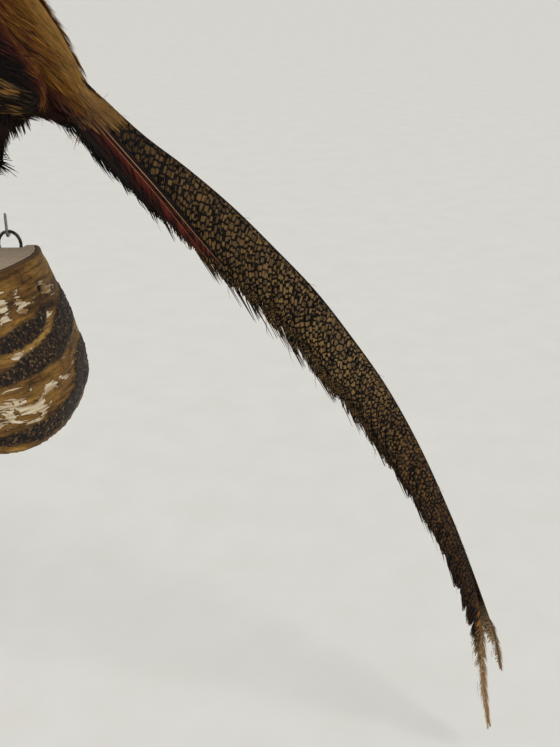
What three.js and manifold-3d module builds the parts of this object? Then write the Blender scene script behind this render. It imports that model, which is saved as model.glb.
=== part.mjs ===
// A wall-hung taxidermy golden pheasant cock on a sawn log bracket, life size, in millimetres.
// +Z is up, +Y goes into the wall and the bird faces -X. The wall is the plane y = 0, and the
// origin lies on the log's flat sawn back, where it meets the wall.
import * as THREE from "three";
import { mergeVertices } from "three/addons/utils/BufferGeometryUtils.js";
import Module from "manifold-3d";

const wasm = await Module();
wasm.setup();

// ---------------------------------------------------------------- driving dimensions
const GAP = 0.3; // clearance between neighbouring pieces
const BODY_Y = -76; // the bird's own middle plane, parallel to the wall
const LOG_TOP = 64;
const LOG_BOTTOM = -63;
const WING_THICKNESS = 11;
const CAPE_THICKNESS = 8;
const LEG_SPREAD = 15.5; // from the middle plane to each foot
const THIGH_SPREAD = 27;
const EYE_RADIUS = 4.6;
const EYE_SPREAD = 10.6;
const TOE_RADIUS = 3.2;
const SPUR_LENGTH = 9;

// Each rib of the body: the back point and the belly point [x, z], and the half width.
const BODY_RIBS = [
  { back: [-117, 441], belly: [-116, 430], half: 4.5 },
  { back: [-108, 451], belly: [-109, 423], half: 10 },
  { back: [-96, 456], belly: [-99, 416], half: 14.5 },
  { back: [-82, 455], belly: [-93, 407], half: 16.5 },
  { back: [-68, 446], belly: [-92, 396], half: 17.5 },
  { back: [-55, 430], belly: [-94, 380], half: 20 },
  { back: [-43, 411], belly: [-99, 357], half: 26 },
  { back: [-27, 389], belly: [-102, 327], half: 36 },
  { back: [-4, 365], belly: [-97, 291], half: 48 },
  { back: [28, 343], belly: [-74, 250], half: 57 },
  { back: [62, 318], belly: [-32, 212], half: 61 },
  { back: [92, 288], belly: [20, 187], half: 58 },
  { back: [113, 259], belly: [68, 175], half: 49 },
  { back: [130, 231], belly: [102, 179], half: 35 },
  { back: [142, 205], belly: [121, 172], half: 25 },
  { back: [153, 190], belly: [134, 163], half: 18 },
];
const HEAD_CUT_RIB = 4; // the head ends and the neck begins at this rib
const NECK_CUT_RIB = 7; // the neck ends and the trunk begins at this rib

// Each rib of the tail: the ridge and the lower edge of the roof [x, z], the roof's half width
// there, and the y of the ridge, which swings in towards the wall.
const TAIL_RIBS = [
  { ridge: [138, 209], edge: [116, 190], half: 14, y: -76 },
  { ridge: [177, 170], edge: [155, 146], half: 16, y: -75.5 },
  { ridge: [207, 143], edge: [182, 116], half: 17, y: -72.5 },
  { ridge: [238, 113], edge: [209, 85], half: 16, y: -69 },
  { ridge: [268, 81], edge: [238, 54], half: 15.5, y: -65.5 },
  { ridge: [299, 46], edge: [267, 21], half: 15, y: -62 },
  { ridge: [328, 6], edge: [296, -16], half: 14, y: -58 },
  { ridge: [357, -38], edge: [325, -55], half: 12.5, y: -53 },
  { ridge: [384, -88], edge: [354, -98], half: 11, y: -48 },
  { ridge: [409, -142], edge: [386, -150], half: 10, y: -43 },
  { ridge: [434, -202], edge: [415, -205], half: 8.5, y: -38 },
];
// The two longest feathers part towards their tips, and each has its last ribs to itself.
const TAIL_TIPS = {
  left: [
    { ridge: [454, -262], edge: [440, -266], half: 7, y: -33 },
    { ridge: [467, -318], edge: [457, -320], half: 5, y: -28 },
    { ridge: [474, -372], edge: [468, -373], half: 3, y: -24 },
    { ridge: [480, -430], edge: [477, -430], half: 2, y: -20 },
  ],
  right: [
    { ridge: [457, -262], edge: [442, -266], half: 7, y: -33 },
    { ridge: [472, -304], edge: [462, -306], half: 5, y: -29 },
    { ridge: [480, -333], edge: [474, -335], half: 3, y: -27 },
    { ridge: [484, -354], edge: [481, -355], half: 2, y: -25 },
  ],
};
const TAIL_BLADE = 3.6; // thickness of one side of the roof
const TAIL_CORE_SHARE = 0.55; // how much of the roof's width the inner feathers fill
const TAIL_CORE_END = 9; // the inner feathers stop at this rib

// The long narrow tail covert lies outside the roof: upper edge, lower edge, the y of the tail's
// middle plane there and how far outside it the covert is.
const COVERT_RIBS = [
  { ridge: [148, 188], edge: [134, 179], y: -76, out: 17 },
  { ridge: [172, 163], edge: [156, 151], y: -76, out: 18.5 },
  { ridge: [200, 130], edge: [188, 119], y: -74, out: 18 },
  { ridge: [217, 106], edge: [209, 98], y: -71, out: 18 },
  { ridge: [228, 83], edge: [226, 81], y: -70, out: 17 },
];
const COVERT_BLADE = 2.4;

// The silky crest lies back over the crown and nape.
const CREST_RIBS = [
  { back: [-113, 448], belly: [-111, 444], half: 4 },
  { back: [-102, 461], belly: [-100, 449], half: 9.5 },
  { back: [-84, 467], belly: [-84, 448], half: 13.5 },
  { back: [-62, 463], belly: [-69, 438], half: 15 },
  { back: [-40, 451], belly: [-53, 427], half: 14 },
  { back: [-20, 436], belly: [-31, 417], half: 9 },
  { back: [-6, 423], belly: [-11, 414], half: 4 },
];

const UPPER_BILL_RIBS = [
  { back: [-113.5, 443.2], belly: [-113.5, 435.6], half: 4.5 },
  { back: [-120, 442.3], belly: [-120, 435], half: 4.1 },
  { back: [-127, 439.4], belly: [-127, 433.4], half: 3.1 },
  { back: [-132.4, 434.8], belly: [-131.4, 430.6], half: 1.8 },
  { back: [-134.4, 430.6], belly: [-133, 429], half: 0.8 },
];
const LOWER_BILL_RIBS = [
  { back: [-113.5, 435.2], belly: [-113.5, 430.4], half: 4 },
  { back: [-120, 434.6], belly: [-120, 429.9], half: 3.5 },
  { back: [-126, 433], belly: [-125.6, 429.5], half: 2.4 },
  { back: [-130.4, 430.6], belly: [-130, 428.7], half: 1.1 },
];

// Side outlines [x, z], each a closed smooth curve.
const WING_OUTLINE = [
  [-66, 312], [-34, 338], [8, 334], [50, 306], [84, 268], [106, 232], [120, 203], [112, 190],
  [72, 194], [26, 203], [-20, 227], [-54, 262], [-72, 290],
];
const CAPE_OUTLINE = [
  [-66, 462], [-40, 446], [-12, 420], [22, 386], [40, 358], [26, 336], [-12, 334], [-48, 348],
  [-74, 374], [-88, 402], [-88, 424], [-78, 442],
];

// The thigh from flank to hock, then the shank down to the foot: points [x, z] and radii.
const THIGH_POINTS = [[32, 212], [47, 189], [58, 168], [66, 150], [68, 138]];
const THIGH_RADII = [26, 27, 21, 14, 6.5];
const SHANK_POINTS = [[68, 146], [65, 132], [52, 108], [37, 84], [30, 73]];
const SHANK_RADII = [5.6, 4.9, 3.7, 3.7, 4.6];
const SPUR_HEIGHT = 0.62; // how far down the shank the spur grows

// Toes from the foot's hub: heading from straight forward in degrees, and length to the claw.
const FOOT_HUB = [28, 69.5];
const TOES = [
  { name: "inner", heading: 17, length: 31 },
  { name: "middle", heading: 1, length: 46 },
  { name: "outer", heading: -23, length: 34 },
  { name: "hind", heading: 176, length: 16 },
];
const CLAW_LENGTH = 10;

// The log's outline [x, depth from the wall] at its top cut and at its bottom cut. Both run from
// the wall at the right, round the front, to the wall at the left, and on behind the wall.
const LOG_TOP_OUTLINE = [
  [81, 6], [83, 26], [75, 50], [64, 72], [44, 96], [14, 108], [-22, 103], [-50, 80], [-66, 46],
  [-68, 8], [-40, -22], [10, -30], [62, -22],
];
const LOG_BOTTOM_OUTLINE = [
  [105, 8], [107, 42], [100, 84], [83, 112], [56, 120], [14, 124], [-28, 118], [-62, 95],
  [-78, 54], [-76, 8], [-44, -22], [14, -30], [74, -22],
];
const LOG_SIDES = 44;
const LOG_ROWS = 6;
const LOG_BELLY = 12; // how far the bark swells
const LOG_BELLY_LOW = 0.7; // below 1, the widest part lies under half height

// Two D rings on straps, sunk into the log's back, each hung on a square-bent wall hook.
const RING_X = [57, -36];
const RING_HALF_WIDTH = 9;
const RING_TOP = 77;
const RING_BAR = 56;
const RING_WIRE = 1.5;
const RING_Y = -3.6;
const STRAP = { width: 13, height: 20, thickness: 1.2 };
const POCKET_DEPTH = 7.5;
const HOOK_WIRE = 1.3;
const HOOK_TOP = 92;

// ---------------------------------------------------------------- solids and lofts
const at = (x, y, z) => new THREE.Vector3(x, y, z);

// A three.js geometry as a manifold-3d solid with its faces pointing out.
function solidOf(geometry) {
  const bare = geometry.clone();
  bare.deleteAttribute("normal");
  bare.deleteAttribute("uv");
  const merged = mergeVertices(bare, 1e-3);
  const build = (triangles) =>
    new wasm.Manifold(
      new wasm.Mesh({
        numProp: 3,
        vertProperties: merged.attributes.position.array,
        triVerts: triangles,
      }),
    );
  const triangles = new Uint32Array(merged.index.array);
  const solid = build(triangles);
  return solid.volume() > 0 ? solid : build(triangles.reverse());
}

function geometryOf(solid) {
  const mesh = solid.getMesh();
  const geometry = new THREE.BufferGeometry();
  geometry.setAttribute("position", new THREE.BufferAttribute(mesh.vertProperties, 3));
  geometry.setIndex(new THREE.BufferAttribute(mesh.triVerts, 1));
  geometry.computeVertexNormals();
  return geometry;
}

// A closed body through stations of { centre, up, side }: a sphere's rows become its rings.
// blunt rounds the ends: the higher it is, the blunter they are.
function loft(stations, { sides = 16, rows = 24, grow = 0, blunt = 8 } = {}) {
  const curve = (key) => new THREE.CatmullRomCurve3(stations.map((s) => s[key]));
  const [centres, ups, wides] = ["centre", "up", "side"].map(curve);
  const sphere = new THREE.SphereGeometry(1, sides, rows);
  const position = sphere.attributes.position;
  const direction = at(0, 0, 0);
  for (let i = 0; i < position.count; i += 1) {
    direction.fromBufferAttribute(position, i);
    const along = (1 - direction.y) / 2;
    const round = Math.sqrt(Math.max(0, 1 - Math.abs(2 * along - 1) ** blunt));
    const flat = Math.hypot(direction.x, direction.z) || 1;
    const up = ups.getPoint(along);
    const side = wides.getPoint(along);
    const point = centres.getPoint(along);
    point.addScaledVector(up, (direction.z / flat) * round * (1 + grow / up.length()));
    point.addScaledVector(side, (direction.x / flat) * round * (1 + grow / side.length()));
    position.setXYZ(i, point.x, point.y, point.z);
  }
  return solidOf(sphere);
}

// Stations from ribs that lie in the bird's middle plane.
function ribStations(ribs, y = BODY_Y) {
  return ribs.map(({ back, belly, half }) => ({
    centre: at((back[0] + belly[0]) / 2, y, (back[1] + belly[1]) / 2),
    up: at((back[0] - belly[0]) / 2, 0, (back[1] - belly[1]) / 2),
    side: at(0, half, 0),
  }));
}

// Stations of a slanted blade between an upper and a lower line, with its thickness across.
function bladeStations(upper, lower, thickness) {
  return upper.map((top, i) => {
    const up = top.clone().sub(lower[i]).multiplyScalar(0.5);
    const next = upper[Math.min(i + 1, upper.length - 1)];
    const last = upper[Math.max(i - 1, 0)];
    const along = next.clone().sub(last).normalize();
    const side = along.cross(up).normalize().multiplyScalar(thickness(i) / 2);
    return { centre: top.clone().add(lower[i]).multiplyScalar(0.5), up, side };
  });
}

// Stations of a round limb through points, with a radius at each.
function limbStations(points, radii) {
  return points.map((centre, i) => {
    const next = points[Math.min(i + 1, points.length - 1)];
    const last = points[Math.max(i - 1, 0)];
    const along = next.clone().sub(last).normalize();
    const across = Math.abs(along.y) < 0.8 ? at(0, 1, 0) : at(0, 0, 1);
    const up = along.clone().cross(across).normalize();
    const side = up.clone().cross(along).normalize();
    return { centre, up: up.multiplyScalar(radii[i]), side: side.multiplyScalar(radii[i]) };
  });
}

// A side outline made solid from one y to another.
function outlineSolid(outline, yFrom, yTo) {
  const curve = new THREE.CatmullRomCurve3(outline.map(([x, z]) => at(x, z, 0)), true);
  const points = curve.getPoints(outline.length * 3).map((p) => new THREE.Vector2(p.x, p.y));
  const shape = new THREE.Shape(points.slice(0, -1));
  const block = new THREE.ExtrudeGeometry(shape, { depth: yTo - yFrom, bevelEnabled: false });
  block.rotateX(Math.PI / 2);
  block.translate(0, yTo, 0);
  return solidOf(block);
}

function box(width, depth, height, centre) {
  return solidOf(new THREE.BoxGeometry(width, depth, height).translate(...centre));
}

const body = (grow = 0) => loft(ribStations(BODY_RIBS), { sides: 20, rows: 32, grow, blunt: 16 });

// The plane of a body rib: its normal points back along the body, towards the tail.
function ribPlane(index) {
  const { back, belly } = BODY_RIBS[index];
  const up = new THREE.Vector2(back[0] - belly[0], back[1] - belly[1]).normalize();
  const normal = [up.y, 0, -up.x];
  return { normal, offset: normal[0] * back[0] + normal[2] * back[1] };
}

const before = (solid, { normal, offset }) =>
  solid.trimByPlane(normal.map((n) => -n), -(offset - GAP / 2));
const after = (solid, { normal, offset }) => solid.trimByPlane(normal, offset + GAP / 2);

// ---------------------------------------------------------------- the model
const bird = new THREE.Group();

function place(name, solid, colour, roughness = 0.85, metalness = 0) {
  const material = new THREE.MeshStandardMaterial({ color: colour, roughness, metalness });
  const mesh = new THREE.Mesh(geometryOf(solid), material);
  mesh.name = name;
  bird.add(mesh);
}

const SIDES = [
  { name: "left", sign: -1 }, // the bird's left faces the room
  { name: "right", sign: 1 },
];

// ---- legs: thigh, shank with spur, foot with toes, and claws
const GROUND = LOG_TOP + GAP;

function toeLine({ heading, length }, footY, sign) {
  const turn = THREE.MathUtils.degToRad(heading);
  const ahead = at(-Math.cos(turn), -sign * Math.sin(turn), 0);
  const hub = at(FOOT_HUB[0], footY, GROUND + TOE_RADIUS + 1.4);
  const start = hub.clone().addScaledVector(ahead, -TOE_RADIUS);
  const low = (share) =>
    hub.clone().addScaledVector(ahead, length * share).setZ(GROUND + TOE_RADIUS * (1.1 - 0.25 * share));
  return { ahead, points: [start, low(0.28), low(0.62), low(1)] };
}

function toe(toeShape, footY, sign, grow = 0) {
  const { points } = toeLine(toeShape, footY, sign);
  const radii = [TOE_RADIUS * 1.05, TOE_RADIUS, TOE_RADIUS * 0.9, TOE_RADIUS * 0.78];
  return loft(limbStations(points, radii), { sides: 6, rows: 6, grow, blunt: 6 });
}

function claw(toeShape, footY, sign) {
  const { ahead, points } = toeLine(toeShape, footY, sign);
  const root = points.at(-1);
  const reach = (share, z) =>
    root.clone().addScaledVector(ahead, CLAW_LENGTH * share).setZ(GROUND + z);
  const line = [reach(-0.1, 3), reach(0.35, 3.1), reach(0.7, 2.4), reach(1, 1)];
  return loft(limbStations(line, [2, 1.8, 1.2, 0.5]), { sides: 5, rows: 5, blunt: 6 });
}

function legPoints(points, sign, spreadTop, spreadFoot) {
  return points.map(([x, z], i) => {
    const share = i / (points.length - 1);
    return at(x, BODY_Y + sign * THREE.MathUtils.lerp(spreadTop, spreadFoot, share), z);
  });
}

const HOCK_SPREAD = 20;
const thigh = (sign, grow = 0) =>
  loft(limbStations(legPoints(THIGH_POINTS, sign, THIGH_SPREAD, HOCK_SPREAD), THIGH_RADII), {
    sides: 12, rows: 12, grow, blunt: 6,
  });
const shankLine = (sign) => legPoints(SHANK_POINTS, sign, HOCK_SPREAD, LEG_SPREAD);
const shank = (sign, grow = 0) =>
  loft(limbStations(shankLine(sign), SHANK_RADII), { sides: 8, rows: 10, grow, blunt: 10 });

for (const { name, sign } of SIDES) {
  const footY = BODY_Y + sign * LEG_SPREAD;
  const foot = (grow = 0) =>
    TOES.map((shape) => toe(shape, footY, sign, grow)).reduce((sum, next) => sum.add(next));
  place(`foot_${name}`, foot(), "#a08a4e", 0.6);
  for (const shape of TOES) {
    const nail = claw(shape, footY, sign).subtract(toe(shape, footY, sign, GAP));
    place(`claw_${shape.name}_${name}`, nail, "#3a3026", 0.4);
  }
  const thighSolid = thigh(sign).subtract(body(GAP));
  place(`thigh_${name}`, thighSolid, "#4a2c18");
  const shankSolid = shank(sign).subtract(thigh(sign, GAP)).subtract(foot(GAP));
  place(`shank_${name}`, shankSolid, "#a08a4e", 0.6);

  const root = new THREE.CatmullRomCurve3(shankLine(sign)).getPoint(SPUR_HEIGHT);
  const spurTip = root.clone().add(at(SPUR_LENGTH + 4, -sign * 2, 2.5));
  const spurLine = [root, root.clone().lerp(spurTip, 0.55), spurTip];
  const spur = loft(limbStations(spurLine, [2.4, 1.7, 0.5]), { sides: 5, rows: 5, blunt: 8 });
  place(`spur_${name}`, spur.subtract(shank(sign, GAP)), "#3a3026", 0.4);
}

// ---- head, neck and trunk, modelled whole and parted with thin cuts
const eye = (sign, grow = 0) => {
  const ball = new THREE.SphereGeometry(EYE_RADIUS + grow, 10, 7);
  return solidOf(ball.translate(-99.5, BODY_Y + sign * EYE_SPREAD, 441));
};
const billLoft = (ribs, grow = 0) => loft(ribStations(ribs), { sides: 8, rows: 8, grow, blunt: 14 });
const upperBill = (grow = 0) => billLoft(UPPER_BILL_RIBS, grow);
const lowerBill = (grow = 0) => billLoft(LOWER_BILL_RIBS, grow);
const crestLoft = (grow = 0) =>
  loft(ribStations(CREST_RIBS), { sides: 12, rows: 12, grow, blunt: 10 });

const whole = body();
const headCut = ribPlane(HEAD_CUT_RIB);
const neckCut = ribPlane(NECK_CUT_RIB);
const head = before(whole, headCut)
  .subtract(eye(-1, GAP))
  .subtract(eye(1, GAP))
  .subtract(upperBill(GAP))
  .subtract(lowerBill(GAP));
place("head", head, "#8a5a30");
place("neck", before(after(whole, headCut), neckCut), "#8a4a22");
place("trunk", after(whole, neckCut), "#5c2418");
place("bill_upper", upperBill(), "#b59a58", 0.45);
place("bill_lower", lowerBill().subtract(upperBill(GAP)), "#b59a58", 0.45);
for (const { name, sign } of SIDES) place(`eye_${name}`, eye(sign), "#c9a227", 0.1);

// ---- crest and cape, each a shell of feathers over the body
const crest = crestLoft().subtract(body(GAP)).subtract(upperBill(GAP));
place("crest", crest, "#a8823a");
const cape = body(CAPE_THICKNESS)
  .intersect(outlineSolid(CAPE_OUTLINE, -180, 40))
  .subtract(body(GAP))
  .subtract(crestLoft(GAP));
place("cape", cape, "#a2622a");

// ---- wings, folded on the flanks
for (const { name, sign } of SIDES) {
  const [near, far] = [BODY_Y + sign * 16, BODY_Y + sign * 120];
  const wing = body(WING_THICKNESS)
    .intersect(outlineSolid(WING_OUTLINE, Math.min(near, far), Math.max(near, far)))
    .subtract(body(GAP))
    .subtract(body(CAPE_THICKNESS + GAP).intersect(outlineSolid(CAPE_OUTLINE, -180, 40)))
    .subtract(thigh(sign, GAP));
  place(`wing_${name}`, wing, "#4a3a2a");
}

// ---- tail: a roof of long feathers, the stacked feathers under it, and the red coverts
function tailBlade({ name, sign }, grow = 0) {
  const ribs = [...TAIL_RIBS, ...TAIL_TIPS[name]];
  const thickness = (i) => TAIL_BLADE * (1 - 0.55 * (i / (ribs.length - 1)));
  const line = (key, across) =>
    ribs.map((rib) => at(rib[key][0], rib.y + sign * across(rib), rib[key][1]));
  const apart = TAIL_BLADE / 2 + GAP;
  const upper = line("ridge", () => apart);
  const lower = line("edge", ({ half }) => half + apart);
  return loft(bladeStations(upper, lower, thickness), { sides: 10, rows: 30, grow, blunt: 24 });
}

function covert(sign) {
  const upper = COVERT_RIBS.map(({ ridge, y, out }) => at(ridge[0], y + sign * out, ridge[1]));
  const lower = COVERT_RIBS.map(({ edge, y, out }) => at(edge[0], y + sign * (out + 3), edge[1]));
  return loft(bladeStations(upper, lower, () => COVERT_BLADE), { sides: 8, rows: 10, blunt: 10 });
}

const coreStations = TAIL_RIBS.slice(0, TAIL_CORE_END).map(({ ridge, edge, half, y }) => {
  const low = at(edge[0], y, edge[1]);
  const high = at(ridge[0], y, ridge[1]).lerp(low, 0.3);
  return {
    centre: high.clone().lerp(low, 0.5),
    up: high.clone().sub(low).multiplyScalar(0.5),
    side: at(0, half * TAIL_CORE_SHARE, 0),
  };
});
const core = loft(coreStations, { sides: 8, rows: 18, blunt: 16 })
  .subtract(body(GAP))
  .subtract(tailBlade(SIDES[0], GAP))
  .subtract(tailBlade(SIDES[1], GAP));
place("tail_inner", core, "#2c241a");
for (const side of SIDES) {
  place(`tail_${side.name}`, tailBlade(side).subtract(body(GAP)), "#4a3a24");
  const red = covert(side.sign).subtract(body(GAP)).subtract(tailBlade(side, GAP));
  place(`covert_${side.name}`, red, "#7a2e1c");
}

// ---- log bracket, flat against the wall
function outlineCurve(outline) {
  return new THREE.CatmullRomCurve3(outline.map(([x, depth]) => at(x, -depth, 0)), true);
}

function logSolid() {
  const top = outlineCurve(LOG_TOP_OUTLINE);
  const bottom = outlineCurve(LOG_BOTTOM_OUTLINE);
  const prism = new THREE.CylinderGeometry(1, 1, 1, LOG_SIDES, LOG_ROWS);
  const position = prism.attributes.position;
  for (let i = 0; i < position.count; i += 1) {
    const [x, up, z] = [position.getX(i), position.getY(i) + 0.5, position.getZ(i)];
    const turn = (Math.atan2(z, x) / (2 * Math.PI) + 1) % 1;
    const point = bottom.getPoint(turn).lerp(top.getPoint(turn), up);
    const centre = at(12, -44, 0);
    const swell = 1 + (LOG_BELLY / 90) * Math.sin(Math.PI * Math.max(up, 0) ** LOG_BELLY_LOW);
    const reach = Math.min(1, Math.hypot(x, z)) * swell;
    point.sub(centre).multiplyScalar(reach).add(centre);
    position.setXYZ(i, point.x, point.y, THREE.MathUtils.lerp(LOG_BOTTOM, LOG_TOP, up));
  }
  return solidOf(prism);
}

const pocket = (x) =>
  box(2 * RING_HALF_WIDTH + 5, 2 * POCKET_DEPTH, 34, [x, 0, LOG_TOP - 17 + 0.01]);
const behindWall = box(400, 100, 400, [0, 50, 0]);
const log = RING_X.reduce((solid, x) => solid.subtract(pocket(x)), logSolid().subtract(behindWall));
place("log", log, "#7a5c34", 0.9);

// A ring of wire whose lower arc is straightened into a bar.
function dRing(x) {
  const rise = (RING_TOP - RING_BAR) / 2 - RING_WIRE / 2;
  const ring = new THREE.TorusGeometry(1, 0.2, 6, 18);
  const position = ring.attributes.position;
  for (let i = 0; i < position.count; i += 1) {
    const [px, py, pz] = [position.getX(i), position.getY(i), position.getZ(i)];
    const turn = Math.atan2(py, px);
    const wire = (Math.hypot(px, py) - 1) / 0.2;
    const line = at(
      Math.cos(turn) * RING_HALF_WIDTH,
      RING_Y,
      Math.max(Math.sin(turn), -0.78) * rise * 1.12 + rise * 0.88 + RING_BAR,
    );
    const out = at(Math.cos(turn), 0, Math.sin(turn) < -0.78 ? -1 : Math.sin(turn)).normalize();
    line.addScaledVector(out, wire * RING_WIRE).add(at(x, (pz / 0.2) * RING_WIRE, 0));
    position.setXYZ(i, line.x, line.y, line.z);
  }
  return solidOf(ring);
}

// A square-bent hook: straight out of the wall, then up in front of the ring.
function wallHook(x, height) {
  const out = RING_Y - RING_WIRE - HOOK_WIRE - 1.2;
  const line = [
    at(x, -0.1, height), at(x, out * 0.45, height), at(x, out * 0.85, height),
    at(x, out, height + 1.6), at(x, out, height + 6), at(x, out, HOOK_TOP),
  ];
  const radii = line.map(() => HOOK_WIRE);
  return loft(limbStations(line, radii), { sides: 6, rows: 12, blunt: 40 });
}

const ringInsideTop = RING_TOP - 2 * RING_WIRE - HOOK_WIRE - GAP;
RING_X.forEach((x, i) => {
  const side = ["near_tail", "near_breast"][i];
  const plateY = RING_Y - RING_WIRE - GAP - STRAP.thickness / 2;
  const plate = box(STRAP.width, STRAP.thickness, STRAP.height, [x, plateY, RING_BAR - STRAP.height / 2 + 5]);
  place(`ring_${side}`, dRing(x), "#1c1c1e", 0.35, 0.9);
  place(`strap_${side}`, plate, "#2a2a2c", 0.4, 0.9);
  place(`hook_${side}`, wallHook(x, ringInsideTop), "#8e8e90", 0.3, 0.9);
});

export default bird;
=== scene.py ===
# %% [markdown]
# # A wall-hung golden pheasant
# A mounted cock golden pheasant stands on a sawn log that hangs flat on a wall, and its long
# tail trails down beside it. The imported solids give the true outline. This lesson lays bark,
# horn, skin and feathers over them, and every feather here is a small closed mesh.

# %% Load the solids
import math

import bmesh
import bpy
import numpy as np
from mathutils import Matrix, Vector, noise
from mathutils.bvhtree import BVHTree


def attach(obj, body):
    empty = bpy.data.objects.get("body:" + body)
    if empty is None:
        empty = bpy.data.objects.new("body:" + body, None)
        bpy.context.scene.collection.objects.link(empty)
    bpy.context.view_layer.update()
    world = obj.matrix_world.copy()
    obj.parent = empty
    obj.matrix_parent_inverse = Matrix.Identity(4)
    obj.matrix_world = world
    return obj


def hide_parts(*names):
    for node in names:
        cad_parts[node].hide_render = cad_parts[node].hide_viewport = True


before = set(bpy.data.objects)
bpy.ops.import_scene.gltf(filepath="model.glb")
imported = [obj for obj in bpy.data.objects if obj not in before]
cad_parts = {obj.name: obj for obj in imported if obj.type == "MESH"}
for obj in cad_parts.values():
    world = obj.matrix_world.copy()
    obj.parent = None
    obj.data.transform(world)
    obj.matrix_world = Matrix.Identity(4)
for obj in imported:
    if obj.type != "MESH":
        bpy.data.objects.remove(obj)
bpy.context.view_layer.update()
MM = 0.001
BODY_Y = -76 * MM  # the bird's own middle plane

# %% [markdown]
# ## Small helpers for materials
# Every finish here is a node tree. Writing each node out takes many lines, so one helper adds a
# node, sets its values and links its inputs, and another makes a colour ramp. Colours are written
# as the 0-255 numbers a painter would read off a chart, and turned into linear light.


# %% Material helpers
BLACK, WHITE = (0, 0, 0, 1), (1, 1, 1, 1)


def grey(level):
    """An untinted tone as linear light."""
    return (level,) * 3 + (1,)


def paint(red, green, blue):
    """A colour chart's 0-255 values as linear light, with full alpha."""
    share = [v / 255 for v in (red, green, blue)]
    return (*[v / 12.92 if v <= 0.04045 else ((v + 0.055) / 1.055) ** 2.4 for v in share], 1.0)


def new_material(name, **sockets):
    """A material and its shader, with constant values set on the shader's own sockets."""
    material = bpy.data.materials.new(name)
    material.use_nodes = True
    shader = material.node_tree.nodes["Principled BSDF"]
    for socket, value in sockets.items():
        shader.inputs[socket.replace("_", " ")].default_value = value
    return material, shader


def node(material, kind, inputs=None, **settings):
    """Adds a shader node. An input given as a socket is linked, and any other is set."""
    made = material.node_tree.nodes.new("ShaderNode" + kind)
    for key, value in settings.items():
        setattr(made, key, value)
    for key, value in (inputs or {}).items():
        if isinstance(value, bpy.types.NodeSocket):
            material.node_tree.links.new(value, made.inputs[key])
        else:
            made.inputs[key].default_value = value
    return made


def ramp(material, factor, stops):
    """A colour ramp through (position, colour) stops, as its colour socket."""
    made = node(material, "ValToRGB", {"Fac": factor})
    elements = made.color_ramp.elements
    while len(elements) < len(stops):
        elements.new(0.5)
    for element, (position, colour) in zip(elements, stops):
        element.position, element.color = position, colour
    return made.outputs["Color"]


def mix(material, factor, first, second, blend="MIX"):
    """One colour laid over another by a factor."""
    made = node(material, "Mix", {0: factor, 6: first, 7: second}, data_type="RGBA", blend_type=blend)
    return made.outputs[2]


def times(material, first, second):
    """One colour multiplied by another."""
    return mix(material, 1.0, first, second, "MULTIPLY")


def step(material, factor, low, high):
    """Black below low and white above high."""
    return ramp(material, factor, [(low, BLACK), (high, WHITE)])


def maths(material, operation, first, second=0.0):
    """One sum on two values, either of which may be a socket."""
    return node(material, "Math", {0: first, 1: second}, operation=operation).outputs[0]


def product(material, first, second):
    return maths(material, "MULTIPLY", first, second)


def total(material, first, second):
    return maths(material, "ADD", first, second)


def wire(material, source, target):
    """Links one socket to another."""
    material.node_tree.links.new(source, target)


def place_of(material, scale=1.0):
    """Object coordinates, stretched by a scale, which may differ on each axis."""
    scales = scale if isinstance(scale, tuple) else (scale,) * 3
    where = node(material, "TexCoord").outputs["Object"]
    return node(material, "Mapping", {"Vector": where, "Scale": scales}).outputs[0]


def noise_of(material, scale, detail, **more):
    """Noise on object coordinates that are stretched by a scale, as its factor socket."""
    inputs = {"Vector": place_of(material, scale), "Scale": 1.0, "Detail": detail, **more}
    return node(material, "TexNoise", inputs).outputs["Fac"]


def bump(material, shader, height, strength, distance):
    """Raises the surface by a height."""
    made = node(material, "Bump", {"Height": height, "Strength": strength, "Distance": distance})
    wire(material, made.outputs[0], shader.inputs["Normal"])


def dress(obj, material, slot, *replaced):
    """Gives a piece its material, hides the solids it replaces and lets it ride on the one body. Its slot is
    not used.
    """
    obj.data.materials.clear()
    obj.data.materials.append(material)
    if replaced:
        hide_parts(*replaced)
    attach(obj, "root")
    obj.data.calc_loop_triangles()
    print(f"{obj.name}: {len(obj.data.loop_triangles)} triangles")
    return obj


# %% [markdown]
# ## Smooth forms from the solids
# The solids are faceted. A copy of one or several of them is merged, remeshed into even small
# quads and smoothed, which closes the thin cuts between head, neck and trunk as real skin does.
# The same way rounds the bill, the legs and the wire rings, with a finer grid.


# %% Copy, remesh and smooth
def select_only(obj):
    for other in bpy.context.selected_objects:
        other.select_set(False)
    obj.select_set(True)
    bpy.context.view_layer.objects.active = obj


def points_of(obj):
    flat = np.empty(len(obj.data.vertices) * 3)
    obj.data.vertices.foreach_get("co", flat)
    return flat.reshape(-1, 3)


def set_points(obj, points):
    obj.data.vertices.foreach_set("co", points.astype(np.float32).ravel())
    obj.data.update()


def normals_of(obj):
    flat = np.empty(len(obj.data.vertices) * 3)
    obj.data.vertex_normals.foreach_get("vector", flat)
    return flat.reshape(-1, 3)


def modify(obj, kind, **settings):
    """Adds a modifier and applies it."""
    select_only(obj)
    modifier = obj.modifiers.new(kind.title(), kind)
    for key, value in settings.items():
        setattr(modifier, key, value)
    bpy.ops.object.modifier_apply(modifier=modifier.name)


def smooth_copy(name, nodes, voxel, rounds):
    """One smooth closed mesh over merged copies of several solids."""
    gathered = bmesh.new()
    for part in nodes:
        gathered.from_mesh(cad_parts[part].data)
    bmesh.ops.remove_doubles(gathered, verts=gathered.verts, dist=0.01 * MM)
    mesh = bpy.data.meshes.new(name)
    gathered.to_mesh(mesh)
    gathered.free()
    obj = bpy.data.objects.new(name, mesh)
    bpy.context.scene.collection.objects.link(obj)
    modify(obj, "REMESH", mode="VOXEL", voxel_size=voxel)
    modify(obj, "SMOOTH", factor=0.5, iterations=rounds)
    obj.data.shade_smooth()
    return obj


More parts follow.
